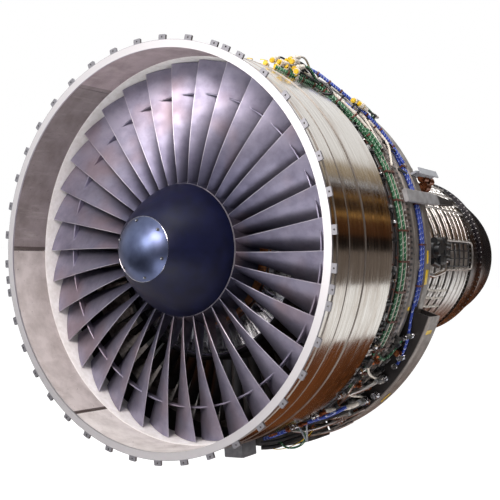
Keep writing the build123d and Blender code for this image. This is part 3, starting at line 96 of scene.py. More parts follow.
# ---- studio: white backdrop, pale floor, soft lamps and cards that only shine in the metal
studio = dict(floorZ=-2.1, floorGlow=1.45, floorShare=0.62, worldGlow=0.37,
              keyWatts=170, frontWatts=700, topWatts=320, rimWatts=160)
world = bpy.data.worlds.new("studioWorld")
scene.world = world
world.use_nodes = True
world.node_tree.nodes.clear()
add = partial(addNode, world.node_tree)
path = add("LightPath").outputs
seen = add("Math", {0: path["Is Camera Ray"], 1: path["Is Glossy Ray"]}, operation="MAXIMUM")
seen = add("Math", {0: seen, 1: path["Is Transmission Ray"]}, operation="MAXIMUM")
lightSide = add("Background", {"Color": paint("#f4f6fa"), "Strength": studio["worldGlow"]})
whiteSide = add("Background", {"Color": (1, 1, 1, 1), "Strength": 1.0})
add("OutputWorld", {"Surface": add("MixShader", {0: seen, 1: lightSide, 2: whiteSide})})


def stageMesh(name, corners, material):
    mesh = bpy.data.meshes.new(name)
    mesh.from_pydata(corners, [], [tuple(range(len(corners)))])
    made = bpy.data.objects.new(name, mesh)
    scene.collection.objects.link(made)
    mesh.materials.append(material)
    return made


floorMat = bpy.data.materials.new("paleFloor")
floorMat.use_nodes = True
floorMat.node_tree.nodes.clear()
add = partial(addNode, floorMat.node_tree)
floorPaint = add("BsdfPrincipled", {"Base Color": paint("#fbfbfb"), "Roughness": 0.9})
floorWhite = add("Emission", {"Color": (1, 1, 1, 1), "Strength": studio["floorGlow"]})
ray = add("LightPath").outputs["Is Camera Ray"]
seen = add("Math", {0: ray, 1: studio["floorShare"]}, operation="MULTIPLY")
add("OutputMaterial", {"Surface": add("MixShader", {0: seen, 1: floorPaint, 2: floorWhite})})
z = studio["floorZ"]
stageMesh("floor", [(-40, -40, z), (40, -40, z), (40, 40, z), (-40, 40, z)], floorMat)


# a card that metal mirrors and the camera, the lamps and matt paint don't meet
def card(name, corners, colour, strength=1.0):
    shade = bpy.data.materials.new(name)
    shade.use_nodes = True
    shade.node_tree.nodes.clear()
    add = partial(addNode, shade.node_tree)
    add("OutputMaterial", {"Surface": add("Emission", {"Color": paint(colour), "Strength": strength})})
    made = stageMesh(name, corners, shade)
    for way in ("camera", "diffuse", "shadow", "transmission", "volume_scatter"):
        setattr(made, "visible_" + way, False)


hallY = (0.1, 24.0)  # the hall's strips run between these stations
hallStrips = (
    # first and last height angle seen from the axis, their distances, colour, strength
    (58, 48, 7.0, 7.0, "#a8977c", 1.0),
    (48, 46, 7.0, 7.0, "#4a3a2c", 1.0),
    (46, 44.6, 7.0, 7.0, "#e8eef8", 1.3),
    (44.6, 38, 7.0, 7.0, "#3a291c", 1.0),
    (38, 35.5, 7.0, 7.0, "#8f6a3a", 1.0),
    (35.5, 27, 7.0, 7.0, "#2f2118", 1.0),
    (27, 24.5, 7.0, 7.0, "#b0854c", 1.0),
    (24.5, 14, 7.0, 7.0, "#4a2d19", 1.0),
    (14, 5, 7.0, 7.0, "#120d0b", 1.0),
    (5, -15, 7.0, 6.5, "#6f645c", 1.0),
    (-15, -41, 6.5, 3.0, "#ffffff", 1.1),
    (-41, -90, 3.0, 2.02, "#6e4023", 1.0),
    (-90, -150, 2.02, 3.6, "#2a1812", 1.0),
)
for k, (first, last, near, far, colour, strength) in enumerate(hallStrips):
    low = (near * cos(radians(first)), near * sin(radians(first)))
    high = (far * cos(radians(last)), far * sin(radians(last)))
    corners = [(low[0], hallY[0], low[1]), (low[0], hallY[1], low[1]),
               (high[0], hallY[1], high[1]), (high[0], hallY[0], high[1])]
    card(f"hallStrip{k}", corners, colour, strength)
card("hallEnd", [(-9, 24, -2.0), (9, 24, -2.0), (9, 24, 9), (-9, 24, 9)], "#231f1e")
card("hallGround", [(-6, -9, -2.04), (6, -9, -2.04), (6, -1.3, -2.04), (-6, -1.3, -2.04)], "#1d1c22")
card("hallRight", [(6.6, -12, -2.0), (6.6, 0.0, -2.0), (6.6, 0.0, 6.0), (6.6, -12, 6.0)], "#25242e")
card("hallBehind", [(-1.5, -12, -2.0), (7, -12, -2.0), (7, -12, 6.0), (-1.5, -12, 6.0)], "#1a1a22")
card("hallFar", [(-7, 2, -2.0), (-7, 24, -2.0), (-7, 24, 5), (-7, 2, 5)], "#4b4642")
card("frontGround", [(0.5, -3.6, -2.03), (3.6, -3.6, -2.03), (3.6, -0.7, -2.03), (0.5, -0.7, -2.03)],
     "#f4f2f6", 2.8)


def softLamp(name, place, target, size, watts, colour="#ffffff"):
    lamp = bpy.data.lights.new(name, "AREA")
    lamp.shape = "RECTANGLE"
    lamp.size, lamp.size_y = size
    lamp.energy = watts
    lamp.color = paint(colour)[:3]
    made = bpy.data.objects.new(name, lamp)
    scene.collection.objects.link(made)
    made.location = place
    made.rotation_euler = (Vector(target) - Vector(place)).to_track_quat("-Z", "Y").to_euler()


softLamp("keyLamp", (-1.5, -7.4, 1.9), (0, 0.4, 0), (2.0, 2.0), studio["keyWatts"])
softLamp("frontLamp", (1.6, -7.2, 4.2), (0, 0.2, 0), (4, 3), studio["frontWatts"], "#fff4f0")
softLamp("topLamp", (1.5, 0.5, 6.5), (0, 1.0, 0), (6, 5), studio["topWatts"])
softLamp("rimLamp", (-5.0, 3.0, 5.0), (0, 2.0, 0), (5, 5), studio["rimWatts"])
print("stage: studio lit")


# ---- CAD pieces: rounded faces shade smooth, real edges stay crisp
def smoothTree():
    group = bpy.data.node_groups.new("smoothSkin", "GeometryNodeTree")
    group.interface.new_socket("Geometry", in_out="INPUT", socket_type="NodeSocketGeometry")
    turn = group.interface.new_socket("Edge angle", in_out="INPUT", socket_type="NodeSocketFloat")
    turn.default_value = radians(28)
    group.interface.new_socket("Geometry", in_out="OUTPUT", socket_type="NodeSocketGeometry")
    add = partial(addNode, group)
    start = add("NodeGroupInput").outputs
    merged = add("GeometryNodeMergeByDistance", {"Geometry": start[0], "Distance": 0.00002})
    angle = add("GeometryNodeInputMeshEdgeAngle").outputs["Unsigned Angle"]
    soft = add("FunctionNodeCompare", {0: angle, 1: start[1]}, data_type="FLOAT", operation="LESS_THAN")
    faces = add("GeometryNodeSetShadeSmooth", {"Geometry": merged}, domain="FACE")
    edges = add("GeometryNodeSetShadeSmooth", {"Geometry": faces, "Shade Smooth": soft}, domain="EDGE")
    add("NodeGroupOutput", {0: edges})
    return group


smoothSkin = smoothTree()


def shadeSmooth(made):
    skin = made.modifiers.new("smoothSkin", "NODES")
    skin.node_group = smoothSkin


for node in nodes.values():
    shadeSmooth(node)


# ---- finishes
rgba = dict(data_type="RGBA")


def newFinish(name):
    made = bpy.data.materials.new(name)
    made.use_nodes = True
    made.node_tree.nodes.clear()
    return made, partial(addNode, made.node_tree)


# bump, shader and output: the end of every finish
def closeFinish(made, add, colour, rough, metallic, height, strength, distance=0.001, coat=0.0, specular=0.5):
    raised = add("Bump", {"Height": height, "Strength": strength, "Distance": distance})
    skin = add("BsdfPrincipled", {"Base Color": colour, "Metallic": metallic, "Roughness": rough,
                                  "Coat Weight": coat, "Specular IOR Level": specular, "Normal": raised})
    add("OutputMaterial", {"Surface": skin})
    return made


# object coordinates, whole and in parts, and the turn round the engine from the top, 0 to 1
def spotOn(add):
    place = add("TexCoord").outputs["Object"]
    parts = add("SeparateXYZ", {0: place}).outputs
    turn = add("Math", {0: parts[0], 1: parts[2]}, operation="ARCTAN2")
    share = add("Math", {0: turn, 1: tau}, operation="DIVIDE")
    return place, parts[0], parts[1], parts[2], add("Math", {0: share}, operation="FRACT")


# distance from the engine's axis
def radiusOf(add, x, z):
    return add("VectorMath", {0: add("CombineXYZ", {0: x, 2: z})}, operation="LENGTH")


# patches of a size in millimetres, drawn out along an axis where a stretch is given
def patches(add, place, sizeMm, detail=4.0, stretch=(1, 1, 1), roughness=0.6):
    mapped = add("Mapping", {"Vector": place, "Scale": stretch})
    return add("TexNoise", {"Vector": mapped, "Scale": 1000 / sizeMm, "Detail": detail,
                            "Roughness": roughness})


# a second colour laid on where a pattern stands between two values
def tinted(add, under, tone, pattern, low, high, most=1.0, blend="MIX"):
    share = add("MapRange", {0: pattern, 1: low, 2: high, 4: most})
    return add("Mix", {0: share, 6: under, 7: paint(tone)}, data_type="RGBA", blend_type=blend)


# mottled tone, fine grain and patchy gloss, the base of the plainer finishes
def plainFinish(name, base, second, metallic, roughness, spread, mottleMm, grainMm, bump,
                spots=None, spotShare=0.7, **more):
    made, add = newFinish(name)
    place = add("TexCoord").outputs["Object"]
    mottle = patches(add, place, mottleMm, 5.0)
    colour = add("ValToRGB", {0: mottle}, ((0.35, second), (0.65, base)))
    if spots:
        specks = patches(add, place, mottleMm * 0.4, 8.0, roughness=0.7)
        colour = tinted(add, colour, spots, specks, spotShare, spotShare + 0.06)
    grain = patches(add, place, grainMm, 3.0, roughness=0.5)
    rough = add("MapRange", {0: mottle, 1: 0.3, 2: 0.7, 3: roughness - spread, 4: roughness + spread})
    return closeFinish(made, add, colour, rough, metallic, grain, bump, **more)


# aluminium sheet polished in the lathe: mirror with fine lines round the case, satin lip at the front
def polishedFinish():
    made, add = newFinish("polishedAluminium")
    place, x, y, z, turn = spotOn(add)
    black, white, satin, length = "#000000", "#ffffff", (0.5, 0.5, 0.5, 1), 0.42
    lines = patches(add, place, 300, 6.0, (0.6, 60, 0.6), 0.75)
    blotches = patches(add, place, 420, 5.0, (1, 2.2, 1))
    streaks = patches(add, place, 500, 3.0, (0.5, 24, 0.5))
    base = add("ValToRGB", {0: lines}, ((0.3, "#a39b92"), (0.5, "#cfcac3"), (0.7, "#e9e6e2")))
    stainsAndShade = tinted(add, base, "#a58868", blotches, 0.45, 0.75, 0.55, "MULTIPLY")
    # painted dark reflection low at the rear: patches turned nearly black where the barrel mirrors the dark
    # hoses
    low = add("ValToRGB", {0: turn}, ((0.30, black), (0.345, white), (0.62, white), (0.66, black)))
    rear = add("MapRange", {0: y, 1: 0.26, 2: 0.66})
    cloudy = add("MapRange", {0: patches(add, place, 75, 6.0, (1, 1.6, 1), 0.7), 1: 0.3, 2: 0.52})
    rearDarkReflection = add("Math", {0: rear, 1: cloudy}, operation="MULTIPLY")
    lowDarkReflection = add("Math", {0: rearDarkReflection, 1: low}, operation="MULTIPLY")
    stainsAndShade = add("Mix", {0: lowDarkReflection, 6: stainsAndShade, 7: paint("#1f2026")}, **rgba)
    # painted shade on the steps between the barrel's three widths: the ramps are darkened so they don't catch
    # the light
    edges = (0.0735, 0.0805, 0.2085, 0.2155, 0.3985, 0.4075)
    stops = [(0.0, black)] + [(at / length, black if k % 2 else white) for k, at in enumerate(edges)]
    bands = add("ValToRGB", {0: add("MapRange", {0: y, 1: 0.0, 2: length})}, stops, True)
    stainsAndShade = add("Mix", {0: bands, 6: stainsAndShade, 7: paint("#8d857e")}, **rgba)
    lip = add("MapRange", {0: y, 1: 0.0215, 2: 0.0235, 3: 1.0, 4: 0.0})
    outer = add("MapRange", {0: radiusOf(add, x, z), 1: 1.262, 2: 1.272})
    lipTone = add("ValToRGB", {0: outer}, ((0.3, "#d2cfd1"), (0.7, "#8d8c91")))
    colour = add("Mix", {0: lip, 6: stainsAndShade, 7: lipTone}, **rgba)
    gloss = add("MapRange", {0: streaks, 1: 0.35, 2: 0.7, 3: 0.1, 4: 0.24})
    gloss = add("Mix", {0: bands, 6: gloss, 7: satin}, **rgba)
    rough = add("Mix", {0: lip, 6: gloss, 7: satin}, **rgba)
    dents = patches(add, place, 90, 2.0, (1, 3, 1))
    return closeFinish(made, add, colour, rough, 1.0, dents, 0.04, 0.002)


# sprayed acoustic lining in six panels, each panel's tone partly its own and partly painted light and shade,
# with patchy wear, dark seams and chips
def linerFinish():
    made, add = newFinish("wornLining")
    place, x, y, z, turn = spotOn(add)
    seams = ((26, 1.0), (86, 1.0), (146, 1.0), (205.3, 3.0), (266.2, 1.2), (326.7, 1.0))  # angle, width
    # painted light and shade: the bottom panel is painted light where light falls, the upper panel on the -x
    # side is painted in shade
    tones = ("#b4a8a4", "#bdb4af", "#ece7e3", "#d3cbc8", "#948a8a", "#b9aaad")
    stops = [(0.0, tones[5])]
    for (angle, width), tone in zip(seams, tones):
        stops += [((angle - width * 0.35) / 360, "#5a4f4b"), ((angle + width * 0.35) / 360, tone)]
    panels = add("ValToRGB", {0: turn}, stops, True)
    clouds = patches(add, place, 160, 6.0)
    cloudy = tinted(add, panels, "#8c827d", clouds, 0.4, 0.7, 0.45, "MULTIPLY")
    streaks = patches(add, place, 120, 5.0, (3, 0.5, 3))
    streaked = tinted(add, cloudy, "#d8d0cb", streaks, 0.55, 0.8, 0.22, "SCREEN")
    chipped = tinted(add, streaked, "#4c4440", patches(add, place, 16, 3.0), 0.7, 0.72)
    rough = add("MapRange", {0: clouds, 1: 0.3, 2: 0.7, 3: 0.5, 4: 0.75})
    return closeFinish(made, add, chipped, rough, 0.0, patches(add, place, 2.4, 3.0), 0.2)


# forged titanium blades: satin lilac grey, with painted shade darkening them towards the root, a painted
# highlight along the leading edges, where they are also rubbed bright, and warm patches of painted reflection
def bladeFinish():
    made, add = newFinish("forgedTitanium")
    place, x, y, z, turn = spotOn(add)
    radius = radiusOf(add, x, z)
    clouds = patches(add, place, 110, 6.0)
    # painted shade: darker towards the root, where the blades lie in the hub's shade
    tone = add("ValToRGB", {0: add("MapRange", {0: radius, 1: 0.43, 2: 1.22})},
               ((0.0, "#4b4b5e"), (0.22, "#6c6a7e"), (0.5, "#8d8a9c"), (1.0, "#9d99ac")))
    mottled = tinted(add, tone, "#8d889c", clouds, 0.4, 0.7, 0.4, "MULTIPLY")
    # how far forward the leading edge stands, from root to tip
    nose = add("FloatCurve", {"Value": add("MapRange", {0: radius, 1: 0.43, 2: 1.2215})})
    line = nose.mapping.curves[0]
    for spot in ((0.16, 0.15), (0.43, 0.13), (0.73, 0.31)):
        line.points.new(*spot)
    line.points[0].location, line.points[-1].location = (0.0, 0.26), (1.0, 0.56)
    nose.mapping.update()
    ahead = add("Math", {0: nose, 1: 0.1, 2: 0.3}, operation="MULTIPLY_ADD")
    behind = add("Math", {0: y, 1: ahead}, operation="SUBTRACT")
    # painted highlight: a bright line along the leading edge, where the metal is also rubbed bright
    edge = add("MapRange", {0: behind, 1: -0.001, 2: 0.001, 3: 0.7, 4: 0.0})
    # painted reflection: warm patches for the pinkish light mirrored in the blades
    warmReflectionTint = tinted(add, mottled, "#937f83", patches(add, place, 420, 2.0), 0.5, 0.66, 0.55)
    colour = add("Mix", {0: edge, 6: warmReflectionTint, 7: paint("#d6d3da")}, **rgba)
    rough = add("MapRange", {0: clouds, 1: 0.3, 2: 0.7, 3: 0.44, 4: 0.54})
    return closeFinish(made, add, colour, rough, 0.85, patches(add, place, 9, 4.0), 0.08)


# cable sleeve: woven colour with pale lacing turns round the run
def sleeveFinish(name, base, dark, lace, pitchMm, share):
    made, add = newFinish(name)
    place, x, y, z, turn = spotOn(add)
    turns = float(int(tau * 1.232 * 1000 / pitchMm))
    wound = add("Math", {0: y, 1: 60.0, 2: 0.0}, operation="MULTIPLY_ADD")
    along = add("Math", {0: turn, 1: turns, 2: wound}, operation="MULTIPLY_ADD")
    phase = add("Math", {0: along}, operation="FRACT")
    uneven = patches(add, place, 70, 2.0)
    wide = add("MapRange", {0: uneven, 1: 0.35, 2: 0.65, 3: share * 0.6, 4: share * 1.5})
    laced = add("Math", {0: phase, 1: wide}, operation="LESS_THAN")
    weave = patches(add, place, 5, 2.0)
    cloth = add("ValToRGB", {0: weave}, ((0.35, dark), (0.62, base)))
    colour = add("Mix", {0: laced, 6: cloth, 7: paint(lace)}, **rgba)
    return closeFinish(made, add, colour, 0.55, 0.0, weave, 0.5)


# thin nozzle sheet: oily soot black, turning orange-brown towards the underside
def nozzleFinish():
    made, add = newFinish("sootedNozzleSheet")
    place, x, y, z, turn = spotOn(add)
    clouds = patches(add, place, 260, 6.0)
    under = add("Math", {0: z, 1: -1.0, 2: 0.0}, operation="MULTIPLY_ADD")
    shift = add("Math", {0: clouds, 1: 0.5, 2: under}, operation="MULTIPLY_ADD")
    tone = add("ValToRGB", {0: add("MapRange", {0: shift, 1: -0.5, 2: 0.95})},
               ((0.0, "#16161d"), (0.5, "#201a1b"), (0.72, "#5e3a24"), (1.0, "#8a5a37")))
    fine = patches(add, place, 60, 5.0, (1, 3, 1))
    colour = tinted(add, tone, "#4d4a52", fine, 0.5, 0.8, 0.4)
    rough = add("MapRange", {0: clouds, 1: 0.3, 2: 0.7, 3: 0.16, 4: 0.34})
    return closeFinish(made, add, colour, rough, 0.35, fine, 0.06, 0.002, specular=0.35)


# tones that change with the radius, or with the station, each mottled, scuffed and speckled
def zonedFinish(name, stops, metallic, roughness, radial=True):
    made, add = newFinish(name)
    place, x, y, z, turn = spotOn(add)
    low, high = stops[0][0] - 0.01, stops[-1][0] + 0.01
    along = add("MapRange", {0: radiusOf(add, x, z) if radial else y, 1: low, 2: high})
    tone = add("ValToRGB", {0: along}, [((at - low) / (high - low), shade) for at, shade in stops])
    clouds = patches(add, place, 70, 6.0)
    shaded = tinted(add, tone, "#8f857e", clouds, 0.35, 0.65, 0.5, "MULTIPLY")
    specks = patches(add, place, 18, 5.0)
    colour = tinted(add, shaded, "#3a3029", specks, 0.66, 0.7, 0.7)
    rough = add("MapRange", {0: clouds, 1: 0.3, 2: 0.7, 3: roughness - 0.08, 4: roughness + 0.08})
    return closeFinish(made, add, colour, rough, metallic, specks, 0.1)


finish = {
    "polishedCase": polishedFinish(),
    "liner": linerFinish(),
    "blades": bladeFinish(),
    "nozzle": nozzleFinish(),
    # green, blue and white cable sleeves with lacing
    "greenSleeve": sleeveFinish("greenBraid", "#1f6b40", "#0c3a20", "#bccfc0", 34.0, 0.1),
    "blueSleeve": sleeveFinish("blueBraid", "#2748b4", "#122363", "#bcc5de", 34.0, 0.1),
    "whiteSleeve": sleeveFinish("creamSleeve", "#d9d0c4", "#b3a899", "#8a6a55", 60.0, 0.12),
    # tapered arm: grey enamel, its end blackened by heat
    "arm": zonedFinish("armEnamel", ((1.60, "#a3a3a6"), (1.64, "#2a292d")), 0.15, 0.4, False),
    # plug stack: zinc-plated foot, white body, yellow cap
    "plugStack": zonedFinish("plugStack", ((1.288, "#c9c7c4"), (1.290, "#f3f1ee"), (1.309, "#f3f1ee"),
                                           (1.311, "#e6c21a")), 0.0, 0.45),
    # frame ring: weathered enamel outside, near-black painted shade on its duct side inside
    "frameRing": zonedFinish("frameRingPaint", ((1.204, "#1b1a1c"), (1.212, "#8d8782")), 0.5, 0.4),
    # channel: oily dark front, its outer skin in worn grey
    "channel": zonedFinish("channelSheet", ((1.355, "#211d1c"), (1.364, "#8f8984")), 0.2, 0.45),
}
# the plainer ones: name, two tones, metallic, roughness and its spread, mottle and grain in mm, bump, more
plainFinishes = {
    # abradable strip: chalky white filler
    "strip": ("chalkStrip", "#f2f1f0", "#e3e1de", 0.0, 0.75, 0.08, 40, 1.5, 0.25),
    # weathered grey-beige enamel on the frame and the cases behind the barrel
    "frameEnamel": ("weatheredEnamel", "#9c9692", "#776f6a", 0.5, 0.36, 0.08, 70, 2.5, 0.12,
                    dict(coat=0.1, spots="#40362e", spotShare=0.62)),
    # brown-grey case between barrel and frame, darkened as painted shade for its recess behind the barrel,
    # with dark spots
    "oiledCase": ("oiledCase", "#988e8c", "#5c524d", 0.7, 0.36, 0.1, 45, 2.5, 0.15,
                  dict(spots="#2f2723", spotShare=0.6)),
    # painted shade: the inside of the duct and the frame in near-black paint, for the deep shade behind the
    # fan
    "darkDuct": ("sootyDuctPaint", "#1e1d1f", "#141415", 0.2, 0.5, 0.08, 80, 2.5, 0.1,
                 dict(spots="#34312f", specular=0.25)),
    # dark vane alloy behind the fan
    "darkVane": ("oiledVaneAlloy", "#303238", "#212328", 0.8, 0.42, 0.08, 60, 2.0, 0.08),
    # rust-red cushioned clamps
    "redClamp": ("cushionedClamp", "#6b3a2a", "#3f231b", 0.1, 0.5, 0.1, 15, 2.0, 0.15),
    # dark grey enamel boxes
    "darkBox": ("darkBoxEnamel", "#6c6c70", "#56565a", 0.1, 0.4, 0.06, 40, 2.0, 0.06, dict(spots="#3a3a3d")),
    # oxidised wire of the side grid
    "darkWire": ("oxidisedWire", "#55565a", "#35363a", 0.6, 0.4, 0.08, 20, 2.0, 0.1),
    # cream insulation on hot air pipes
    "lagging": ("creamLagging", "#dcd6cc", "#bfb7ab", 0.0, 0.6, 0.1, 25, 1.6, 0.3, dict(spots="#8f8476")),
    # bright yellow enamel of caps and tags
    "yellow": ("yellowEnamel", "#e3bf1c", "#c9a514", 0.0, 0.4, 0.06, 20, 2.0, 0.06, dict(coat=0.2)),
    # polished fitting metal
    "chrome": ("brightFitting", "#dcdcde", "#b5b4b6", 1.0, 0.16, 0.06, 15, 2.0, 0.05),
    # brown phenolic and varnished copper parts
    "copper": ("varnishedCopper", "#9a5c3a", "#6a3a22", 0.8, 0.32, 0.08, 20, 2.0, 0.08),
    # two-pack grey paint on machined cases: satin
    "greyPaint": ("satinGreyPaint", "#a9adb3", "#989ca3", 0.0, 0.38, 0.06, 120, 3.0, 0.06,
                  dict(coat=0.15, spots="#6e6a66")),
    # forged titanium with a tumbled surface: satin, cool grey
    "titanium": ("tumbledTitanium", "#8f929b", "#7d808b", 1.0, 0.36, 0.06, 140, 1.2, 0.12),
    # erosion paint on the spinner: satin charcoal navy
    "spinner": ("erosionPaint", "#0e1230", "#0a0d22", 0.0, 0.42, 0.05, 90, 1.5, 0.06,
                dict(spots="#1f2440", spotShare=0.73, specular=0.2)),
    # the cap's own paint, rubbed to a soft blue-grey shine
    "cap": ("rubbedCapPaint", "#5d6684", "#535b78", 1.0, 0.36, 0.02, 60, 1.5, 0.03,
            dict(spots="#6c7590", spotShare=0.74)),
    # machined steel: even, bright, faintly grained
    "steel": ("machinedSteel", "#b3b4b5", "#9d9e9f", 1.0, 0.3, 0.08, 30, 2.0, 0.1),
    # bright vane alloy
    "vane": ("brightVaneAlloy", "#dfe1e4", "#c9cbd0", 1.0, 0.22, 0.05, 50, 2.0, 0.05),
    # heat-tinted bronze coating
    "bronze": ("heatTintedBronze", "#c98a56", "#8f5630", 0.85, 0.36, 0.08, 60, 2.0, 0.1),
    # nickel alloy after many hot hours: straw and brown stains
    "hotAlloy": ("stainedNickelAlloy", "#9a8f84", "#6d6157", 0.9, 0.42, 0.1, 110, 2.5, 0.15,
                 dict(spots="#4a3f38", spotShare=0.66)),
    # case behind the tubes, nearly black: heat tint, and painted shade in the gaps between the tubes
    "scorchedCase": ("scorchedCase", "#3d342d", "#231e1b", 0.7, 0.45, 0.1, 90, 2.5, 0.15,
                     dict(spots="#6b5a4a", spotShare=0.68)),
    # drawn stainless tube: bright, nearly smooth
    "tube": ("drawnStainless", "#dcdad8", "#c4bfba", 1.0, 0.3, 0.04, 60, 2.0, 0.02),
    # satin black anodised and painted units
    "black": ("satinBlackPaint", "#2a2b2e", "#1f2022", 0.0, 0.4, 0.08, 50, 2.0, 0.08, dict(coat=0.1)),
    # sand-cast housing, sealed dark
    "darkCast": ("sealedCasting", "#4d4c4b", "#353433", 0.5, 0.45, 0.08, 40, 2.5, 0.3, dict(spots="#7c7a76")),
    # sand-cast aluminium housing
    "cast": ("sandCastAluminium", "#a7a9a9", "#8e9090", 0.85, 0.48, 0.08, 40, 2.5, 0.3),
    # bright zinc-plated clamps
    "clamp": ("brightZincPlate", "#d4d5d8", "#bcbdc0", 1.0, 0.24, 0.06, 20, 2.0, 0.06),
}
for key, look in plainFinishes.items():
    finish[key] = plainFinish(*look[:9], **dict(*look[9:]))

nodeFinish = {
    "polishedCase": "fan_case", "liner": "inlet_liner", "strip": "rub_strip", "oiledCase": "aft_fan_case",
    "darkDuct": "aft_liner fan_frame splitter_fairing", "frameRing": "fan_frame_ring", "arm": "side_arm",
    "black": "case_brackets vane_actuator starter_and_fuel_pump bleed_valve", "blades": "fan_blades",
    "greyPaint": "oil_tank bearing_support top_bracket", "spinner": "spinner_cone", "cap": "nose_cap",
    "titanium": "fan_disk front_mount rear_mount hpc_front_case", "chrome": "nose_cap_bolts",
    "steel": "fan_shaft main_bearings radial_drive_shaft actuator_rod booster_rotor hpc_rotor hpc_rear_case",
    "darkVane": "outlet_guide_vanes", "vane": "booster_inlet_vanes booster_case",
    "bronze": "spool_front_ring",
    "hotAlloy": "diffuser_frame burner_case burner_liner hpt_case hpt_rotor lpt_rotor",
    "tube": "fuel_manifold cooling_tubes elbow_pipe unison_rings", "scorchedCase": "lpt_case",
    "nozzle": "turbine_rear_frame exhaust_nozzle exhaust_plug", "darkWire": "side_frame",
    "channel": "service_channel", "darkCast": "accessory_gearbox", "cast": "generator",
    "clamp": "service_fittings", "darkBox": "control_unit", "greenSleeve": "green_harness",
    "whiteSleeve": "white_conduits", "blueSleeve": "blue_harness", "redClamp": "harness_clamps",
    "plugStack": "top_connectors",
}
for key, names in nodeFinish.items():
    for name in names.split():
        nodes[name].data.materials.clear()
        nodes[name].data.materials.append(finish[key])
print("stage: CAD pieces dressed")

# ---- tools for the scene's own pieces
def finished(name, mesh, key, body="engine"):
    made = bpy.data.objects.new(name, mesh)
    scene.collection.objects.link(made)
    mesh.materials.clear()
    mesh.materials.append(finish[key])
    shadeSmooth(made)
    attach(made, body)


# repeats its own mesh round the engine's axis
def ringRowTree():
    group = bpy.data.node_groups.new("ringRow", "GeometryNodeTree")
    for label, kind in (("Geometry", "Geometry"), ("Count", "Int"), ("First angle", "Float"),
                        ("Step", "Float"), ("Jitter", "Float"), ("Seed", "Int"), ("Finish", "Material")):
        group.interface.new_socket(label, in_out="INPUT", socket_type="NodeSocket" + kind)
    group.interface.new_socket("Geometry", in_out="OUTPUT", socket_type="NodeSocketGeometry")
    add = partial(addNode, group)
    start = add("NodeGroupInput").outputs
    line = add("GeometryNodeMeshLine", {"Count": start["Count"], "Offset": (0, 0, 0)})
    number = add("GeometryNodeInputIndex")
    even = add("Math", {0: number, 1: start["Step"], 2: start["First angle"]}, operation="MULTIPLY_ADD")
    wobble = add("FunctionNodeRandomValue", {2: -1.0, 3: 1.0, "ID": number, "Seed": start["Seed"]},
                 data_type="FLOAT").outputs[1]
    turned = add("Math", {0: wobble, 1: start["Jitter"], 2: even}, operation="MULTIPLY_ADD")
    placed = add("GeometryNodeInstanceOnPoints",
                 {"Points": line, "Instance": start[0], "Rotation": add("CombineXYZ", {1: turned})})
    real = add("GeometryNodeRealizeInstances", {0: placed})
    dressed = add("GeometryNodeSetMaterial", {"Geometry": real, "Material": start["Finish"]})
    add("NodeGroupOutput", {0: dressed})
    return group


ringRow = ringRowTree()


# one plain mesh from an object's evaluated tree
def grown(mesh, group, values):
    source = bpy.data.objects.new("growing", mesh)
    scene.collection.objects.link(source)
    tool = source.modifiers.new("tool", "NODES")
    tool.node_group = group
    for item in group.interface.items_tree:
        if item.in_out == "INPUT" and item.name in values:
            tool[item.identifier] = values[item.name]
    bpy.context.view_layer.update()
    seen = source.evaluated_get(bpy.context.evaluated_depsgraph_get())
    result = bpy.data.meshes.new_from_object(seen)
    bpy.data.objects.remove(source)
    return result


def aroundAxis(name, mesh, key, count, firstDeg, stepDeg=None, jitterDeg=0.0, seed=1):
    step = 360 / count if stepDeg is None else stepDeg
    values = {"Count": count, "First angle": radians(firstDeg), "Step": radians(step),
              "Jitter": radians(jitterDeg), "Seed": seed, "Finish": finish[key]}
    finished(name, grown(mesh, ringRow, values), key)


# small meshes, made at the top of the ring: x along the ring, y along the engine, z outwards
def meshFrom(*parts):
    grid = bmesh.new()
    for shape, *sizes in parts:
        shape(grid, *sizes)
    mesh = bpy.data.meshes.new("template")
    grid.to_mesh(mesh)
    grid.free()
    return mesh


def block(grid, centre, size, bevel):
    verts = bmesh.ops.create_cube(grid, size=1.0)["verts"]
    bmesh.ops.scale(grid, vec=size, verts=verts)
    bmesh.ops.translate(grid, vec=centre, verts=verts)
    edges = list(dict.fromkeys(edge for vert in verts for edge in vert.link_edges))
    bmesh.ops.bevel(grid, geom=edges, offset=bevel, segments=2, affect="EDGES", profile=0.5)


def rod(grid, base, direction, radius, length, sides=12, topRadius=None):
    turn = Vector((0, 0, 1)).rotation_difference(Vector(direction)).to_matrix().to_4x4()
    middle = Vector(base) + Vector(direction).normalized() * length / 2
    bmesh.ops.create_cone(grid, cap_ends=True, segments=sides, radius1=radius,
                          radius2=radius if topRadius is None else topRadius, depth=length,
                          matrix=Matrix.Translation(middle) @ turn)


# hexagon bolt with a washer, standing on a face
def bolt(grid, base, direction, size):
    rod(grid, base, direction, size * 1.25, size * 0.25, 12)
    rod(grid, Vector(base) + Vector(direction).normalized() * size * 0.2, direction, size, size * 0.75, 6)


# pipe through points with rounded bends
def pipeMesh(points, radius, sides=10, steps=6, cyclic=False):
    line = bpy.data.curves.new("pipe", "CURVE")
    line.dimensions = "3D"
    line.resolution_u = steps
    line.bevel_depth = radius
    line.bevel_resolution = sides // 2 - 2
    line.use_fill_caps = True
    spline = line.splines.new("NURBS")
    spline.points.add(len(points) - 1)
    for point, place in zip(spline.points, points):
        point.co = (*place, 1.0)
    spline.order_u = 3
    spline.use_endpoint_u = not cyclic
    spline.use_cyclic_u = cyclic
    made = bpy.data.objects.new("pipe", line)
    scene.collection.objects.link(made)
    bpy.context.view_layer.update()
    mesh = bpy.data.meshes.new_from_object(made.evaluated_get(bpy.context.evaluated_depsgraph_get()))
    bpy.data.objects.remove(made)
    return mesh


# pipe on the case: each stop is an angle, a radius and a station
def casePipe(name, stops, radius, key, sides=12):
    finished(name, pipeMesh([polar(*stop) for stop in stops], radius, sides), key)


rise, aft, fore = (0, 0, 1), (0, 1, 0), (0, -1, 0)

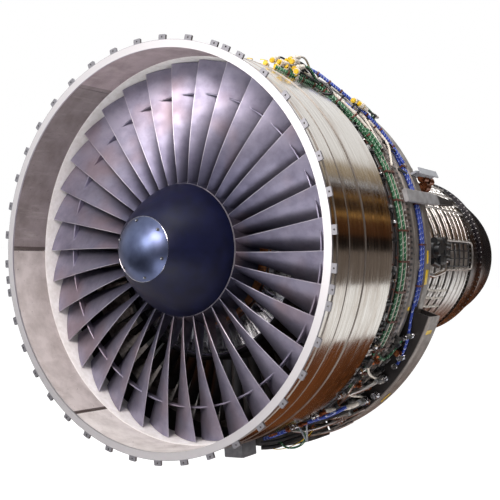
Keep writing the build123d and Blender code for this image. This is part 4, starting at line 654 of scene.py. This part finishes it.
# ---- bolts, nuts and slots of the flanges
flangeRows = (
    # name, circle radius, station, direction along the engine, count, bolt size
    ("jointBoltsFront", 1.238, 1.0775, fore, 216, 0.0062),
    ("jointBoltsRear", 1.238, 1.1285, aft, 216, 0.0062),
    ("barrelNuts", 1.246, 0.7745, aft, 144, 0.0055),
    ("frameRearBolts", 1.226, 1.4555, aft, 144, 0.0055),
    ("turbineFrontBolts", 0.655, 2.6745, aft, 96, 0.0055),
    ("turbineFlangeFront", 0.783, 3.5835, fore, 120, 0.006),
    ("turbineFlangeRear", 0.783, 3.6165, aft, 120, 0.006),
    ("nozzleFlangeBolts", 0.759, 3.9655, fore, 100, 0.0055),
    ("burnerFlangeBolts", 0.524, 2.5055, fore, 90, 0.005),
    ("compressorMidBolts", 0.452, 1.7855, fore, 80, 0.005),
    ("compressorRearBolts", 0.421, 2.1355, fore, 72, 0.005),
)
for name, r, y, way, count, size in flangeRows:
    aroundAxis(name, meshFrom((bolt, (0, y, r), way, size)), "steel", count, 0.4)

# painted shade: black plates on the flange stand in for the shaded hollows of its slots
slotSpec = dict(place=(0, 1.1032, 1.2502), size=(0.0155, 0.036, 0.0016), bevel=0.0006, count=222)
slot = meshFrom((block, slotSpec["place"], slotSpec["size"], slotSpec["bevel"]))
aroundAxis("jointSlotShade", slot, "black", slotSpec["count"], 0.6)
print("stage: flange bolts set")

capSpec = dict(jointR=0.1992, jointY=-0.0362, bead=0.0013, boltR=0.174, boltY=-0.0535, firstDeg=-15,
               washer=0.0105, thick=0.0056, lean=(0.62, 0.78))
bead = [polar(angle, capSpec["jointR"], capSpec["jointY"]) for angle in range(0, 360, 10)]
finished("capJointBead", pipeMesh(bead, capSpec["bead"], 6, 4, True), "chrome", "fan_spool")


# black discs round the cap's bolts: painted shade for their sunk holes
def capHoleShade(k):
    place = polar(capSpec["firstDeg"] + 60 * k, capSpec["boltR"], capSpec["boltY"])
    outwards = Vector((place.x, 0, place.z)).normalized()
    way = outwards * capSpec["lean"][0] - Vector((0, capSpec["lean"][1], 0))
    return rod, place, way, capSpec["washer"], capSpec["thick"], 16


finished("capHoleShades", meshFrom(*(capHoleShade(k) for k in range(6))), "black", "fan_spool")


# ---- pipes and cables on the fan case and the frame
clipSpec = dict(wide=0.012, thick=0.002, play=0.005, footAt=0.011, foot=(0.012, 0.02, 0.004), boltAt=0.013,
                bolt=0.0035, stepDeg=9.0, jitterDeg=0.4, seed=3)


# saddle clips under a run round the case, each with its foot and bolt
def runClips(name, y, skinR, pipeR, firstDeg, count):
    top = skinR + 2 * pipeR + clipSpec["thick"]
    saddle = (clipSpec["wide"], 2 * pipeR + clipSpec["play"], top - skinR)
    side, level = y + pipeR, skinR + clipSpec["foot"][2]
    clip = meshFrom((block, (0, y, (skinR + top) / 2), saddle, 0.001),
                    (block, (0, side + clipSpec["footAt"], (skinR + level) / 2), clipSpec["foot"], 0.0008),
                    (bolt, (0, side + clipSpec["boltAt"], level), rise, clipSpec["bolt"]))
    aroundAxis(name, clip, "redClamp", count, firstDeg, clipSpec["stepDeg"], clipSpec["jitterDeg"],
               clipSpec["seed"])


def ringPath(firstDeg, lastDeg, r, y, stepDeg=5.0):
    count = max(3, int(abs(lastDeg - firstDeg) / stepDeg) + 1)
    return [(firstDeg + (lastDeg - firstDeg) * k / (count - 1), r, y) for k in range(count)]


skin = 1.2225  # outer radius of the case behind the barrel
caseRuns = (
    # name, station, skin radius, pipe radius, first angle, last angle, finish
    ("creamPipeTop", 1.148, 1.2245, 0.0075, -28, 34, "lagging"),
    ("creamPipeTopRear", 1.238, skin, 0.0075, -28, 44, "lagging"),
    ("darkPipeFront", 0.822, skin, 0.008, -24, 163, "black"),
    ("steelPipeFront", 0.848, skin, 0.006, -20, 162, "tube"),
    ("darkPipeMiddle", 0.912, skin, 0.007, -22, 160, "black"),
    ("copperPipe", 0.932, skin, 0.004, 40, 158, "copper"),
    ("leftSteelPipe", 0.86, skin, 0.009, 188, 262, "tube"),
    ("leftDarkPipe", 0.93, skin, 0.012, 190, 264, "black"),
    ("leftCreamPipe", 0.99, skin, 0.010, 186, 330, "lagging"),
    ("leftSteelPipeRear", 1.035, skin, 0.007, 188, 334, "tube"),
    ("leftFrameCable", 1.262, skin, 0.009, 186, 332, "blueSleeve"),
    ("leftFrameCableRear", 1.318, skin, 0.009, 190, 332, "greenSleeve"),
    ("frameSteelPipe", 1.352, skin, 0.005, 32, 103, "tube"),
)
for name, y, skinR, pipeR, first, last, key in caseRuns:
    casePipe(name, ringPath(first, last, skinR + pipeR, y), pipeR, key, 10)
    runClips(name + "Clips", y, skinR, pipeR, first + 2, int((last - first) / clipSpec["stepDeg"]))
creamLinks = dict(
    creamLinkFront=((34, 1.232, 1.148), (37, 1.246, 1.14), (40, 1.27, 1.118), (44, 1.27, 1.085),
                    (48, 1.258, 1.066), (54, 1.252, 1.058)),
    creamLinkRear=((44, 1.230, 1.238), (47, 1.246, 1.228), (50, 1.262, 1.195), (53, 1.27, 1.15),
                   (56, 1.27, 1.1), (60, 1.255, 1.062)))
for name, stops in creamLinks.items():
    casePipe(name, stops, 0.0075, "lagging", 10)

# short black rods beside the blue pair
lean = (0.25, 1, 0)
for k, angle in enumerate((50.5, 52.5, 60.5)):
    short = meshFrom((rod, (0, 1.17, 1.253), lean, 0.008, 0.1), (rod, (0, 1.166, 1.253), lean, 0.0095, 0.016))
    aroundAxis(f"blackRod{k}", short, "black", 1, angle, 0)
print("stage: case pipes laid")

# round bolted pads over the strut ends
pad = meshFrom((rod, (0, 1.29, 1.2215), rise, 0.034, 0.006, 24),
               (rod, (0, 1.29, 1.2275), rise, 0.022, 0.005, 24),
               *((bolt, (0.028 * cos(k * tau / 6), 1.29 + 0.028 * sin(k * tau / 6), 1.2275), rise, 0.003)
                 for k in range(6)))
aroundAxis("strutPads", pad, "frameEnamel", 10, 18)

# small terminals and couplings scattered along the case's rear skin
terminal = ((block, (0, 0.885, 1.231), (0.036, 0.026, 0.018), 0.003),
            (block, (0, 0.885, 1.2425), (0.026, 0.018, 0.006), 0.002),
            (rod, (0.014, 0.885, 1.233), (1, 0, 0), 0.006, 0.018, 10),
            (bolt, (-0.010, 0.885, 1.2455), rise, 0.003), (bolt, (0.008, 0.885, 1.2455), rise, 0.003))
coupling = ((rod, (0, 0.872, 1.236), aft, 0.011, 0.022, 6), (rod, (0, 0.858, 1.236), aft, 0.008, 0.05),
            (block, (0, 0.883, 1.227), (0.016, 0.03, 0.010), 0.001))
aroundAxis("terminals", meshFrom(*terminal), "cast", 11, -15, 17.3, 2.5, 8)
aroundAxis("couplings", meshFrom(*coupling), "chrome", 12, -8, 14.6, 3.0, 4)
aroundAxis("leftTerminals", meshFrom(*terminal), "cast", 7, 192, 20.0, 3.0, 9)

# yellow tags tied to the frame's rear band: angle, station, size along the ring, size across, foot radius
tagSpots = ((87.5, 1.389, 0.085, 0.024, 1.2405), (93.7, 1.394, 0.1, 0.04, 1.2405),
            (103.2, 1.193, 0.024, 0.024, 1.2445), (-3, 1.2, 0.02, 0.024, 1.2445))
for k, (angle, y, long, wide, level) in enumerate(tagSpots):
    tag = meshFrom((block, (0, y, level + 0.002), (long, wide, 0.003), 0.001))
    aroundAxis(f"tag{k}", tag, "yellow", 1, angle, 0)
print("stage: case fittings set")

# ---- top right: capped plugs over the barrel's rear edge, their tails, and the raised branches
plugSpots = (
    # angle, radius, station of the cap's face
    (18.1, 1.312, 0.62), (21.0, 1.318, 0.60), (22.4, 1.316, 0.65), (24.9, 1.352, 0.60), (22.9, 1.356, 0.64),
    (16.9, 1.286, 0.60), (19.7, 1.287, 0.63), (25.6, 1.316, 0.63), (27.6, 1.312, 0.60), (26.4, 1.289, 0.64),
    (20.5, 1.342, 0.69), (24.2, 1.332, 0.71), (37.6, 1.318, 1.01), (38.7, 1.322, 1.05), (39.7, 1.32, 1.08),
)
plugSize = dict(body=0.0145, bodyLong=0.07, cap=0.016, capLong=0.018, crown=0.0112, crownLong=0.006,
                crownOut=0.004, collar=0.0215, collarLong=0.022, nut=0.018125, nutLong=0.012, nutAt=0.034,
                lean=0.45, tail=0.0065, tailAt=0.085, tailStraight=0.05)
tailFinish = ("black", "lagging", "greenSleeve", "black", "tube")
caps, bodies, tails = [], [], []
for k, (angle, r, y) in enumerate(plugSpots):
    way = Vector((plugSize["lean"] * sin(k * 2.1), 1.0, plugSize["lean"] * cos(k * 1.7))).normalized()
    place = polar(angle, r, y)
    caps += [(rod, place, way, plugSize["cap"], plugSize["capLong"], 14),
             (rod, place - way * plugSize["crownOut"], way, plugSize["crown"], plugSize["crownLong"], 14)]
    start = place + way * (plugSize["capLong"] - 0.002)
    bodies += [(rod, start, way, plugSize["body"], plugSize["bodyLong"], 14),
               (rod, start, way, plugSize["collar"], plugSize["collarLong"], 14),
               (rod, start + way * plugSize["nutAt"], way, plugSize["nut"], plugSize["nutLong"], 6)]
    tail = place + way * plugSize["tailAt"]
    side, back = (30.0, 0.90) if y < 1 else (43.0, 1.22)
    tails.append([tail, tail + way * plugSize["tailStraight"], polar(angle + 3, (r + 1.30) / 2, y + 0.2),
                  polar(side - 2, 1.285, back), polar(side + 4, 1.262, back + 0.03),
                  polar(side + 9, 1.245, back + 0.04)])
finished("plugCaps", meshFrom(*caps), "yellow")
finished("plugBodies", meshFrom(*bodies), "lagging")
for k, stops in enumerate(tails):
    finished(f"plugTail{k}", pipeMesh(stops, plugSize["tail"], 8), tailFinish[k % len(tailFinish)])

topBranches = (
    # name, pipe radius, finish, stops
    ("greenTopFront", 0.011, "greenSleeve", ((22, 1.284, 0.56), (25.5, 1.282, 0.6), (28, 1.281, 0.7),
     (28.8, 1.279, 0.82), (31, 1.275, 0.88), (36, 1.27, 0.905), (43, 1.262, 0.93), (50, 1.257, 0.955),
     (57, 1.256, 0.974))),
    ("greenTopRear", 0.01, "greenSleeve", ((24, 1.3, 0.66), (27, 1.3, 0.76), (29.5, 1.295, 0.88),
     (33, 1.285, 0.95), (39, 1.27, 0.99), (46, 1.26, 1.02), (54, 1.256, 1.034))),
    ("blueTopFront", 0.011, "blueSleeve", ((18, 1.345, 0.76), (21.5, 1.352, 0.88), (25.8, 1.347, 0.92),
     (29.5, 1.33, 0.95), (33, 1.318, 1.0), (37, 1.305, 1.06), (41, 1.29, 1.14), (46, 1.272, 1.22),
     (52, 1.257, 1.28), (58, 1.255, 1.296))),
    ("creamTopFront", 0.009, "lagging", ((20, 1.325, 0.8), (23, 1.32, 0.88), (27, 1.307, 0.9),
     (31, 1.294, 0.9), (36, 1.286, 0.93), (42, 1.272, 0.98), (48, 1.262, 1.03), (53, 1.25, 1.06))),
    ("creamTopRear", 0.009, "lagging", ((18, 1.315, 0.8), (22, 1.315, 0.95), (27, 1.305, 1.02),
     (33, 1.29, 1.06), (39, 1.275, 1.12), (45, 1.262, 1.19), (50, 1.247, 1.238))),
    ("blackTopLoop", 0.009, "black", ((26, 1.305, 0.84), (29, 1.315, 0.86), (32, 1.31, 0.88),
     (34, 1.29, 0.885), (33, 1.27, 0.88), (30, 1.25, 0.87), (28, 1.233, 0.86))),
)
for name, radius, key, stops in topBranches:
    casePipe(name, stops, radius, key)

# tie bands round the raised branches, and the posts that carry them
bandSize = dict(over=1.3, long=0.012)
postSize = dict(rod=0.0065, foot=0.013, footLong=0.006, cup=0.0115, cupLong=0.014, cupDown=0.012)
rackSize = dict(frontY=0.66, postY=0.80, rod=0.006, rodLong=0.15, post=0.0075)
bands = []
for name, radius, key, stops in topBranches[:5]:
    places = [polar(*stop) for stop in stops]
    for before, here, after in zip(places, places[1:], places[2:]):
        way = (after - before).normalized()
        middle = (before + here * 6 + after) / 8
        start = middle - way * bandSize["long"] / 2
        bands.append((rod, start, way, radius * bandSize["over"], bandSize["long"], 10))
posts = []
for angle, y, top in ((18.5, 0.80, 1.345), (22, 0.89, 1.345), (26, 0.925, 1.34), (30, 0.955, 1.32),
                      (34, 1.02, 1.30), (38.4, 1.03, 1.31), (39.2, 1.10, 1.31), (42, 1.15, 1.275),
                      (24, 0.80, 1.33), (28, 0.80, 1.30), (37, 0.93, 1.275), (44, 0.95, 1.26)):
    foot = polar(angle, skin, y)
    way = (polar(angle, top, y) - foot).normalized()
    cup = polar(angle, top - postSize["cupDown"], y)
    posts += [(rod, foot, way, postSize["rod"], top - skin, 8),
              (rod, foot, way, postSize["foot"], postSize["footLong"], 10),
              (rod, cup, way, postSize["cup"], postSize["cupLong"], 10)]
rack = []
for angle, r in ((18.3, 1.297), (22.2, 1.30), (25.8, 1.30)):
    foot = polar(angle, skin, rackSize["postY"])
    way = (polar(angle, r, rackSize["postY"]) - foot).normalized()
    rack += [(rod, polar(angle, r, rackSize["frontY"]), aft, rackSize["rod"], rackSize["rodLong"], 8),
             (rod, foot, way, rackSize["post"], r - skin, 8)]
finished("tieBands", meshFrom(*bands), "redClamp")
finished("branchPosts", meshFrom(*posts), "black")
finished("plugRack", meshFrom(*rack), "black")
print("stage: top branches laid")

# ---- underside of the fan case: hoses, cables and their stand-offs
standOff = meshFrom((block, (0, 0.972, 1.259), (0.03, 0.006, 0.075), 0.001),
                    (block, (0, 0.98, 1.2245), (0.03, 0.024, 0.004), 0.001),
                    (block, (0, 0.98, 1.296), (0.034, 0.026, 0.005), 0.001),
                    (bolt, (0, 0.984, 1.2265), rise, 0.004))
aroundAxis("underStandOffs", standOff, "black", 5, 138, 7.2)
underRuns = (
    # name, pipe radius, finish, stops
    ("blueHoseUnder", 0.013, "blueSleeve", ((166, 1.31, 0.975), (162, 1.294, 0.96), (157, 1.278, 0.955),
     (152, 1.272, 0.955), (147, 1.276, 0.955), (143, 1.294, 0.96), (140, 1.305, 0.99), (137, 1.31, 1.04))),
    ("blueHoseUpper", 0.009, "blueSleeve", ((101, 1.235, 1.296), (106, 1.25, 1.27), (109, 1.275, 1.255),
     (114, 1.3, 1.262), (119, 1.31, 1.268), (121, 1.31, 1.275))),
    ("greenBranch", 0.009, "greenSleeve", ((118, 1.234, 1.036), (119, 1.245, 1.06), (119.5, 1.268, 1.1),
     (119, 1.268, 1.15), (117, 1.262, 1.2), (113, 1.26, 1.262))),
    ("creamBranch", 0.009, "lagging", ((122, 1.232, 1.0), (125, 1.25, 1.05), (126, 1.27, 1.12),
     (127, 1.285, 1.2), (127.5, 1.3, 1.235))),
    ("creamDrain", 0.008, "lagging", ((131, 1.232, 0.94), (133, 1.25, 0.97), (134, 1.275, 1.06),
     (134, 1.29, 1.16), (135, 1.3, 1.235))),
    ("darkHoseA", 0.015, "black", ((166, 1.36, 0.925), (163, 1.37, 0.96), (160, 1.36, 1.02),
     (157, 1.345, 1.09), (155, 1.34, 1.145))),
    ("darkHoseB", 0.013, "black", ((166, 1.33, 0.925), (162, 1.335, 0.965), (158, 1.325, 1.03),
     (154, 1.32, 1.1), (152, 1.32, 1.145))),
    ("darkHoseC", 0.012, "black", ((135, 1.33, 1.24), (138, 1.325, 1.18), (142, 1.31, 1.1), (147, 1.3, 1.03),
     (152, 1.27, 1.0), (155, 1.232, 0.99))),
    ("steelHoseA", 0.01, "tube", ((137, 1.36, 1.235), (140, 1.355, 1.17), (145, 1.34, 1.1), (151, 1.33, 1.05),
     (157, 1.3, 1.02), (160, 1.24, 1.01))),
    ("steelHoseB", 0.009, "tube", ((142, 1.385, 1.235), (145, 1.385, 1.19), (149, 1.375, 1.15),
     (153, 1.36, 1.142), (157, 1.35, 1.15))),
    ("greenLoopA", 0.007, "greenSleeve", ((161, 1.34, 0.99), (160, 1.385, 0.985), (157, 1.405, 1.0),
     (154, 1.39, 1.02), (153, 1.345, 1.03), (154, 1.3, 1.02), (156, 1.232, 1.0))),
    ("greenLoopB", 0.006, "greenSleeve", ((163, 1.34, 1.02), (161, 1.39, 1.03), (158, 1.41, 1.045),
     (155, 1.385, 1.06), (154, 1.33, 1.07), (153, 1.27, 1.09), (152, 1.232, 1.06))),
    ("yellowWire", 0.0028, "yellow", ((166, 1.35, 0.93), (163, 1.385, 0.96), (160, 1.395, 1.0),
     (156, 1.38, 1.04), (152, 1.34, 1.08), (149, 1.29, 1.1), (147, 1.253, 1.1))),
    ("copperDrain", 0.006, "copper", ((148, 1.234, 1.04), (149, 1.29, 1.045), (151, 1.31, 1.06),
     (154, 1.31, 1.1), (157, 1.31, 1.145))),
    ("steelDrain", 0.007, "tube", ((126, 1.232, 0.955), (130, 1.262, 0.96), (135, 1.272, 0.99),
     (140, 1.27, 1.04), (144, 1.275, 1.09), (150, 1.29, 1.145))),
    ("whiteLegFront", 0.0065, "greyPaint", ((153.2, 1.224, 0.985), (152.8, 1.28, 0.972),
     (151.6, 1.386, 0.965))),
    ("whiteLegRear", 0.0065, "greyPaint", ((149.2, 1.224, 0.985), (149.9, 1.285, 0.972),
     (151.6, 1.386, 0.965))),
)
for name, radius, key, stops in underRuns:
    casePipe(name, stops, radius, key)

# end fittings, each with a hexagon nut and a rounded collar, pointing along the engine
fittingSpots = (
    # angle, radius, station, size
    (112.2, 1.275, 1.252, 0.018), (114.8, 1.258, 1.252, 0.016), (117.2, 1.285, 1.252, 0.02),
    (121, 1.315, 1.252, 0.018), (127, 1.30, 1.252, 0.024), (131.7, 1.262, 1.252, 0.026),
    (135.1, 1.322, 1.252, 0.03), (138.7, 1.268, 1.252, 0.028), (140.2, 1.335, 1.252, 0.026),
    (146.1, 1.335, 1.252, 0.024), (147.2, 1.273, 1.252, 0.024), (155, 1.34, 1.152, 0.022),
    (152, 1.32, 1.152, 0.02), (150, 1.30, 1.152, 0.014),
)
for k, (angle, r, y, size) in enumerate(fittingSpots):
    nut = meshFrom((rod, (0, y, r), fore, size * 1.15, size * 0.8, 6),
                   (rod, (0, y - size * 0.7, r), fore, size * 0.9, size * 0.9, 16, size * 0.75),
                   (rod, (0, y - size * 1.5, r), fore, size * 1.0, size * 0.5, 16))
    aroundAxis(f"endFitting{k}", nut, ("chrome", "tube", "copper")[k % 3], 1, angle, 0)

# corrugated hoses from the channel's fittings back to the case
for k, (angle, r, y, size) in enumerate(fittingSpots[4:11]):
    stops = [(angle, r, y - size * 1.9), (angle, r, y - 0.09), (angle + 3, r - 0.01, y - 0.15),
             (angle + 7, 1.262, y - 0.21), (angle + 10, 1.236, y - 0.25 - 0.02 * (k % 3))]
    casePipe(f"channelHose{k}", stops, size * 0.55, ("tube", "black", "lagging", "copper")[k % 4])
    rings = ((rod, (0, y - size * 2 - 0.011 * m, r), fore, size * 0.7, 0.005, 16) for m in range(5))
    aroundAxis(f"hoseRings{k}", meshFrom(*rings), "cast", 1, angle, 0)

# small units packed on the case low on the right, their places counted from the station and the skin
elbows = ((block, (0, 0, 0.004), (0.034, 0.034, 0.008), 0.002), (rod, (0, 0, 0.006), rise, 0.011, 0.05),
          (rod, (0, 0, 0.018), rise, 0.016, 0.012, 6), (rod, (0, 0.008, 0.054), (0.35, -1, 0), 0.0115, 0.065),
          (rod, (0.012, -0.03, 0.054), (0.35, -1, 0), 0.0165, 0.014, 6))
valves = ((rod, (0, 0, 0), rise, 0.026, 0.01, 16), (rod, (0, 0, 0.008), rise, 0.019, 0.04, 16),
          (rod, (0, 0, 0.046), rise, 0.013, 0.014, 6), (rod, (-0.034, 0, 0.028), (1, 0, 0), 0.009, 0.068, 10),
          (rod, (-0.036, 0, 0.028), (1, 0, 0), 0.013, 0.01, 6))
boxes = ((block, (0, 0, 0.02), (0.062, 0.05, 0.04), 0.004),
         (block, (0, 0, 0.003), (0.082, 0.03, 0.006), 0.001),
         (bolt, (-0.036, 0, 0.006), rise, 0.0035), (bolt, (-0.02, -0.015, 0.04), rise, 0.003),
         (bolt, (0.036, 0, 0.006), rise, 0.0035), (bolt, (0.02, -0.015, 0.04), rise, 0.003),
         (rod, (0, -0.023, 0.022), fore, 0.012, 0.022, 14), (rod, (0, -0.04, 0.022), fore, 0.009, 0.02, 10))
links = (*((rod, (side, at, 0.014), aft, radius, long, sides) for side in (-0.018, 0.018)
           for at, radius, long, sides in ((-0.05, 0.007, 0.1, 10), (-0.052, 0.0105, 0.014, 6),
                                           (0.036, 0.0105, 0.014, 6))),
         (block, (0, 0, 0.012), (0.06, 0.014, 0.022), 0.002))
unitRows = (
    # name, shape, station, count, first angle, step, jitter, finish
    ("elbowsA", elbows, 0.85, 5, 112, 9.5, 2.0, "chrome"),
    ("elbowsB", elbows, 1.16, 6, 111, 7.3, 2.0, "darkCast"),
    ("elbowsC", elbows, 0.90, 4, 141, 6.0, 1.5, "copper"),
    ("valvesA", valves, 0.90, 5, 115, 8.7, 2.0, "darkCast"),
    ("valvesB", valves, 1.02, 5, 121, 8.1, 2.0, "copper"),
    ("valvesC", valves, 1.20, 5, 114, 8.4, 2.0, "black"),
    ("boxesA", boxes, 0.95, 4, 119, 9.3, 2.0, "black"),
    ("boxesB", boxes, 1.19, 4, 118, 9.1, 2.0, "darkCast"),
    ("linksA", links, 0.86, 6, 116.5, 8.2, 1.6, "tube"),
    ("linksB", links, 1.0, 4, 117.5, 8.8, 1.6, "redClamp"),
    ("linksC", links, 0.93, 4, 146, 5.2, 1.0, "clamp"),
)
for k, (name, shape, y, count, first, step, jitter, key) in enumerate(unitRows):
    parts = [(tool, (x, y + behind, skin + level), *sizes) for tool, (x, behind, level), *sizes in shape]
    aroundAxis(name, meshFrom(*parts), key, count, first, step, jitter, 20 + k)

# grey ladder bracket beside the barrel's rear edge
rung = meshFrom((block, (0, 0.826, 1.238), (0.006, 0.085, 0.031), 0.001))
aroundAxis("ladderRungs", rung, "darkBox", 10, 126, 1.4)
for name, y in (("ladderRailFront", 0.79), ("ladderRailRear", 0.865)):
    casePipe(name, ringPath(125, 140, 1.254, y, 3.0), 0.004, "darkBox", 10)

# stepped black brackets along the barrel's rear edge, low on the right
stepBracket = meshFrom((block, (0, 0.875, 1.2265), (0.05, 0.17, 0.008), 0.002),
                       (block, (0, 0.85, 1.244), (0.006, 0.11, 0.032), 0.001),
                       (block, (0, 0.9, 1.262), (0.044, 0.03, 0.006), 0.001),
                       (bolt, (0.016, 0.93, 1.2305), rise, 0.004))
aroundAxis("stepBrackets", stepBracket, "black", 9, 108, 5.6)

# bare yellow plates on the channel's skin: angle, station, size along the ring, size across
plateSpots = ((108.6, 1.35, 0.03, 0.09), (132, 1.37, 0.09, 0.03), (146.5, 1.33, 0.05, 0.022))
for k, (angle, y, wide, long) in enumerate(plateSpots):
    plate = meshFrom((block, (0, y, 1.3725), (wide, long, 0.0015), 0.0005))
    aroundAxis(f"yellowPlate{k}", plate, "yellow", 1, angle, 0)
print("stage: underside piped")

# ---- core: pipes from the frame to the turbine on clips, ignition leads and bleed ducts
coreRuns = (
    # angle, pipe radius, finish
    (38, 0.014, "tube"), (47, 0.022, "lagging"), (56, 0.012, "tube"), (63, 0.018, "lagging"),
    (104, 0.016, "tube"), (112, 0.024, "lagging"), (121, 0.010, "copper"), (131, 0.018, "black"),
    (150, 0.020, "lagging"), (163, 0.012, "tube"), (196, 0.022, "lagging"), (208, 0.012, "tube"),
    (222, 0.016, "black"), (236, 0.012, "copper"), (278, 0.020, "lagging"), (290, 0.012, "tube"),
    (304, 0.026, "lagging"), (318, 0.012, "tube"), (332, 0.016, "black"),
)
corePosts = ((1.7925, 0.476), (2.1425, 0.445), (2.51, 0.53))  # station and foot radius
for k, (angle, radius, key) in enumerate(coreRuns):
    level = 0.552 + radius
    stops = ((0, 0.66, 1.458), (0, 0.66, 1.49), (1, level + 0.02, 1.56), (2, level, 1.66), (2, level, 1.9),
             (3, level, 2.2), (3, level, 2.42), (4, level + 0.01, 2.54), (4, 0.635, 2.6), (4, 0.655, 2.66))
    casePipe(f"corePipe{k}", [(angle + turn, r, y) for turn, r, y in stops], radius, key, 10)
    for m, (y, foot) in enumerate(corePosts):
        top = level + radius
        post = meshFrom((block, (0, y, (foot + top) / 2), (0.016, 0.012, top - foot + 0.006), 0.001),
                        (block, (0, y, level), (2 * radius + 0.01, 0.014, 2 * radius + 0.008), 0.002))
        aroundAxis(f"corePost{k}.{m}", post, "redClamp", 1, angle + 2 + (m > 0), 0)
print("stage: core piped")

# ---- duct outlet at the side: four bright pipes from the frame to the turbine, plugs under the top bracket
sideStops = ((0, 1.212, 1.455), (0, 1.205, 1.52), (1, 1.13, 1.68), (3, 1.0, 1.92), (5, 0.88, 2.2),
             (6, 0.79, 2.5), (7, 0.71, 2.69))
for k, key in enumerate(("tube", "lagging", "tube", "tube")):
    casePipe(f"sidePipe{k}", [(63 + 3.2 * k + turn, r, y) for turn, r, y in sideStops], 0.016, key)
plugs = []
for angle, r, y, size in ((61.0, 1.226, 1.60, 0.03), (63.4, 1.20, 1.63, 0.036), (61.6, 1.222, 1.69, 0.03),
                          (65.6, 1.16, 1.62, 0.03)):
    place = polar(angle, r, y)
    plugs += [(rod, place, aft, size, 0.07, 20),
              (rod, place - Vector((0, 0.008, 0)), aft, size * 0.75, 0.01, 20),
              (rod, place + Vector((0, 0.065, 0)), aft, size * 0.5, 0.05)]
finished("bracketPlugs", meshFrom(*plugs), "copper")

# black valve bodies beside the bleed valve, on a post from the case
valveStack = meshFrom((rod, (0, 2.56, 0.50), rise, 0.03, 0.36), (rod, (0, 2.56, 0.82), rise, 0.055, 0.05, 18),
                      (block, (0.01, 2.62, 0.865), (0.10, 0.14, 0.06), 0.008),
                      (rod, (-0.03, 2.50, 0.86), aft, 0.034, 0.16, 14),
                      (rod, (0.035, 2.46, 0.85), (0.2, 1, 0), 0.028, 0.14, 14),
                      (rod, (0.0, 2.68, 0.87), (0.1, 1, 0.1), 0.03, 0.08, 14),
                      (block, (-0.04, 2.66, 0.88), (0.05, 0.06, 0.05), 0.006),
                      *((bolt, (-0.03 + 0.02 * k, 2.60, 0.895), rise, 0.005) for k in range(4)))
valveTrim = meshFrom((rod, (0.03, 2.70, 0.86), aft, 0.024, 0.05, 14),
                     (rod, (0.0, 2.44, 0.84), aft, 0.02, 0.06, 14),
                     (rod, (-0.045, 2.58, 0.86), (-1, 0, 0.2), 0.012, 0.05, 10))
aroundAxis("valveStack", valveStack, "black", 2, 81, 6.5)
aroundAxis("valveTrim", valveTrim, "chrome", 2, 81, 6.5)

# ---- turbine: bright manifold tubes laid on the case between the raised ones
manifold = dict(stations=(2.771, 2.873, 2.975, 3.077, 3.179, 3.281, 3.383, 3.485), radius=0.0185,
                front=(0.645, 2.66), knee=(0.752, 3.25))
(frontR, frontY), (kneeR, kneeY) = manifold["front"], manifold["knee"]
for k, y in enumerate(manifold["stations"]):
    caseR = frontR + min(1.0, (y - frontY) / (kneeY - frontY)) * (kneeR - frontR)
    places = [polar(angle, caseR + manifold["radius"] + 0.001, y) for angle in range(0, 360, 10)]
    finished(f"manifoldTube{k}", pipeMesh(places, manifold["radius"], 12, 3, True), "tube")

# ---- turbine: loop pipe round the side grid, supply pipes and pipes along the tube rails
casePipe("gridLoop", [(77.2, 0.811, 2.86), (77.2, 0.811, 3.1), (77.2, 0.811, 3.5), (78.2, 0.811, 3.56),
                      (82, 0.811, 3.57), (90, 0.811, 3.57), (94, 0.811, 3.56), (95, 0.811, 3.5),
                      (95, 0.811, 3.2), (95, 0.811, 2.88)], 0.009, "tube")
turbineRuns = (
    # name, angles, stops as turn, radius and station, pipe radius, finish
    ("supplyPipe", (107, 112, 118, 124, 130), ((0, 0.655, 2.66), (0, 0.70, 2.68), (1, 0.775, 2.72),
     (1, 0.80, 2.78), (1, 0.808, 2.9), (1, 0.81, 3.05)), 0.010, "lagging"),
    ("turbinePipe", (34, 42, 49, 55, 205, 250, 262, 300), ((0, 0.655, 2.66), (0, 0.71, 2.67), (1, 0.79, 2.71),
     (1, 0.815, 2.8), (2, 0.812, 3.1), (2, 0.812, 3.4), (3, 0.805, 3.56)), 0.009, "tube"),
)
for name, angles, stops, radius, key in turbineRuns:
    for k, angle in enumerate(angles):
        casePipe(f"{name}{k}", [(angle + turn, r, y) for turn, r, y in stops], radius, key, 10)
print("stage: turbine dressed")
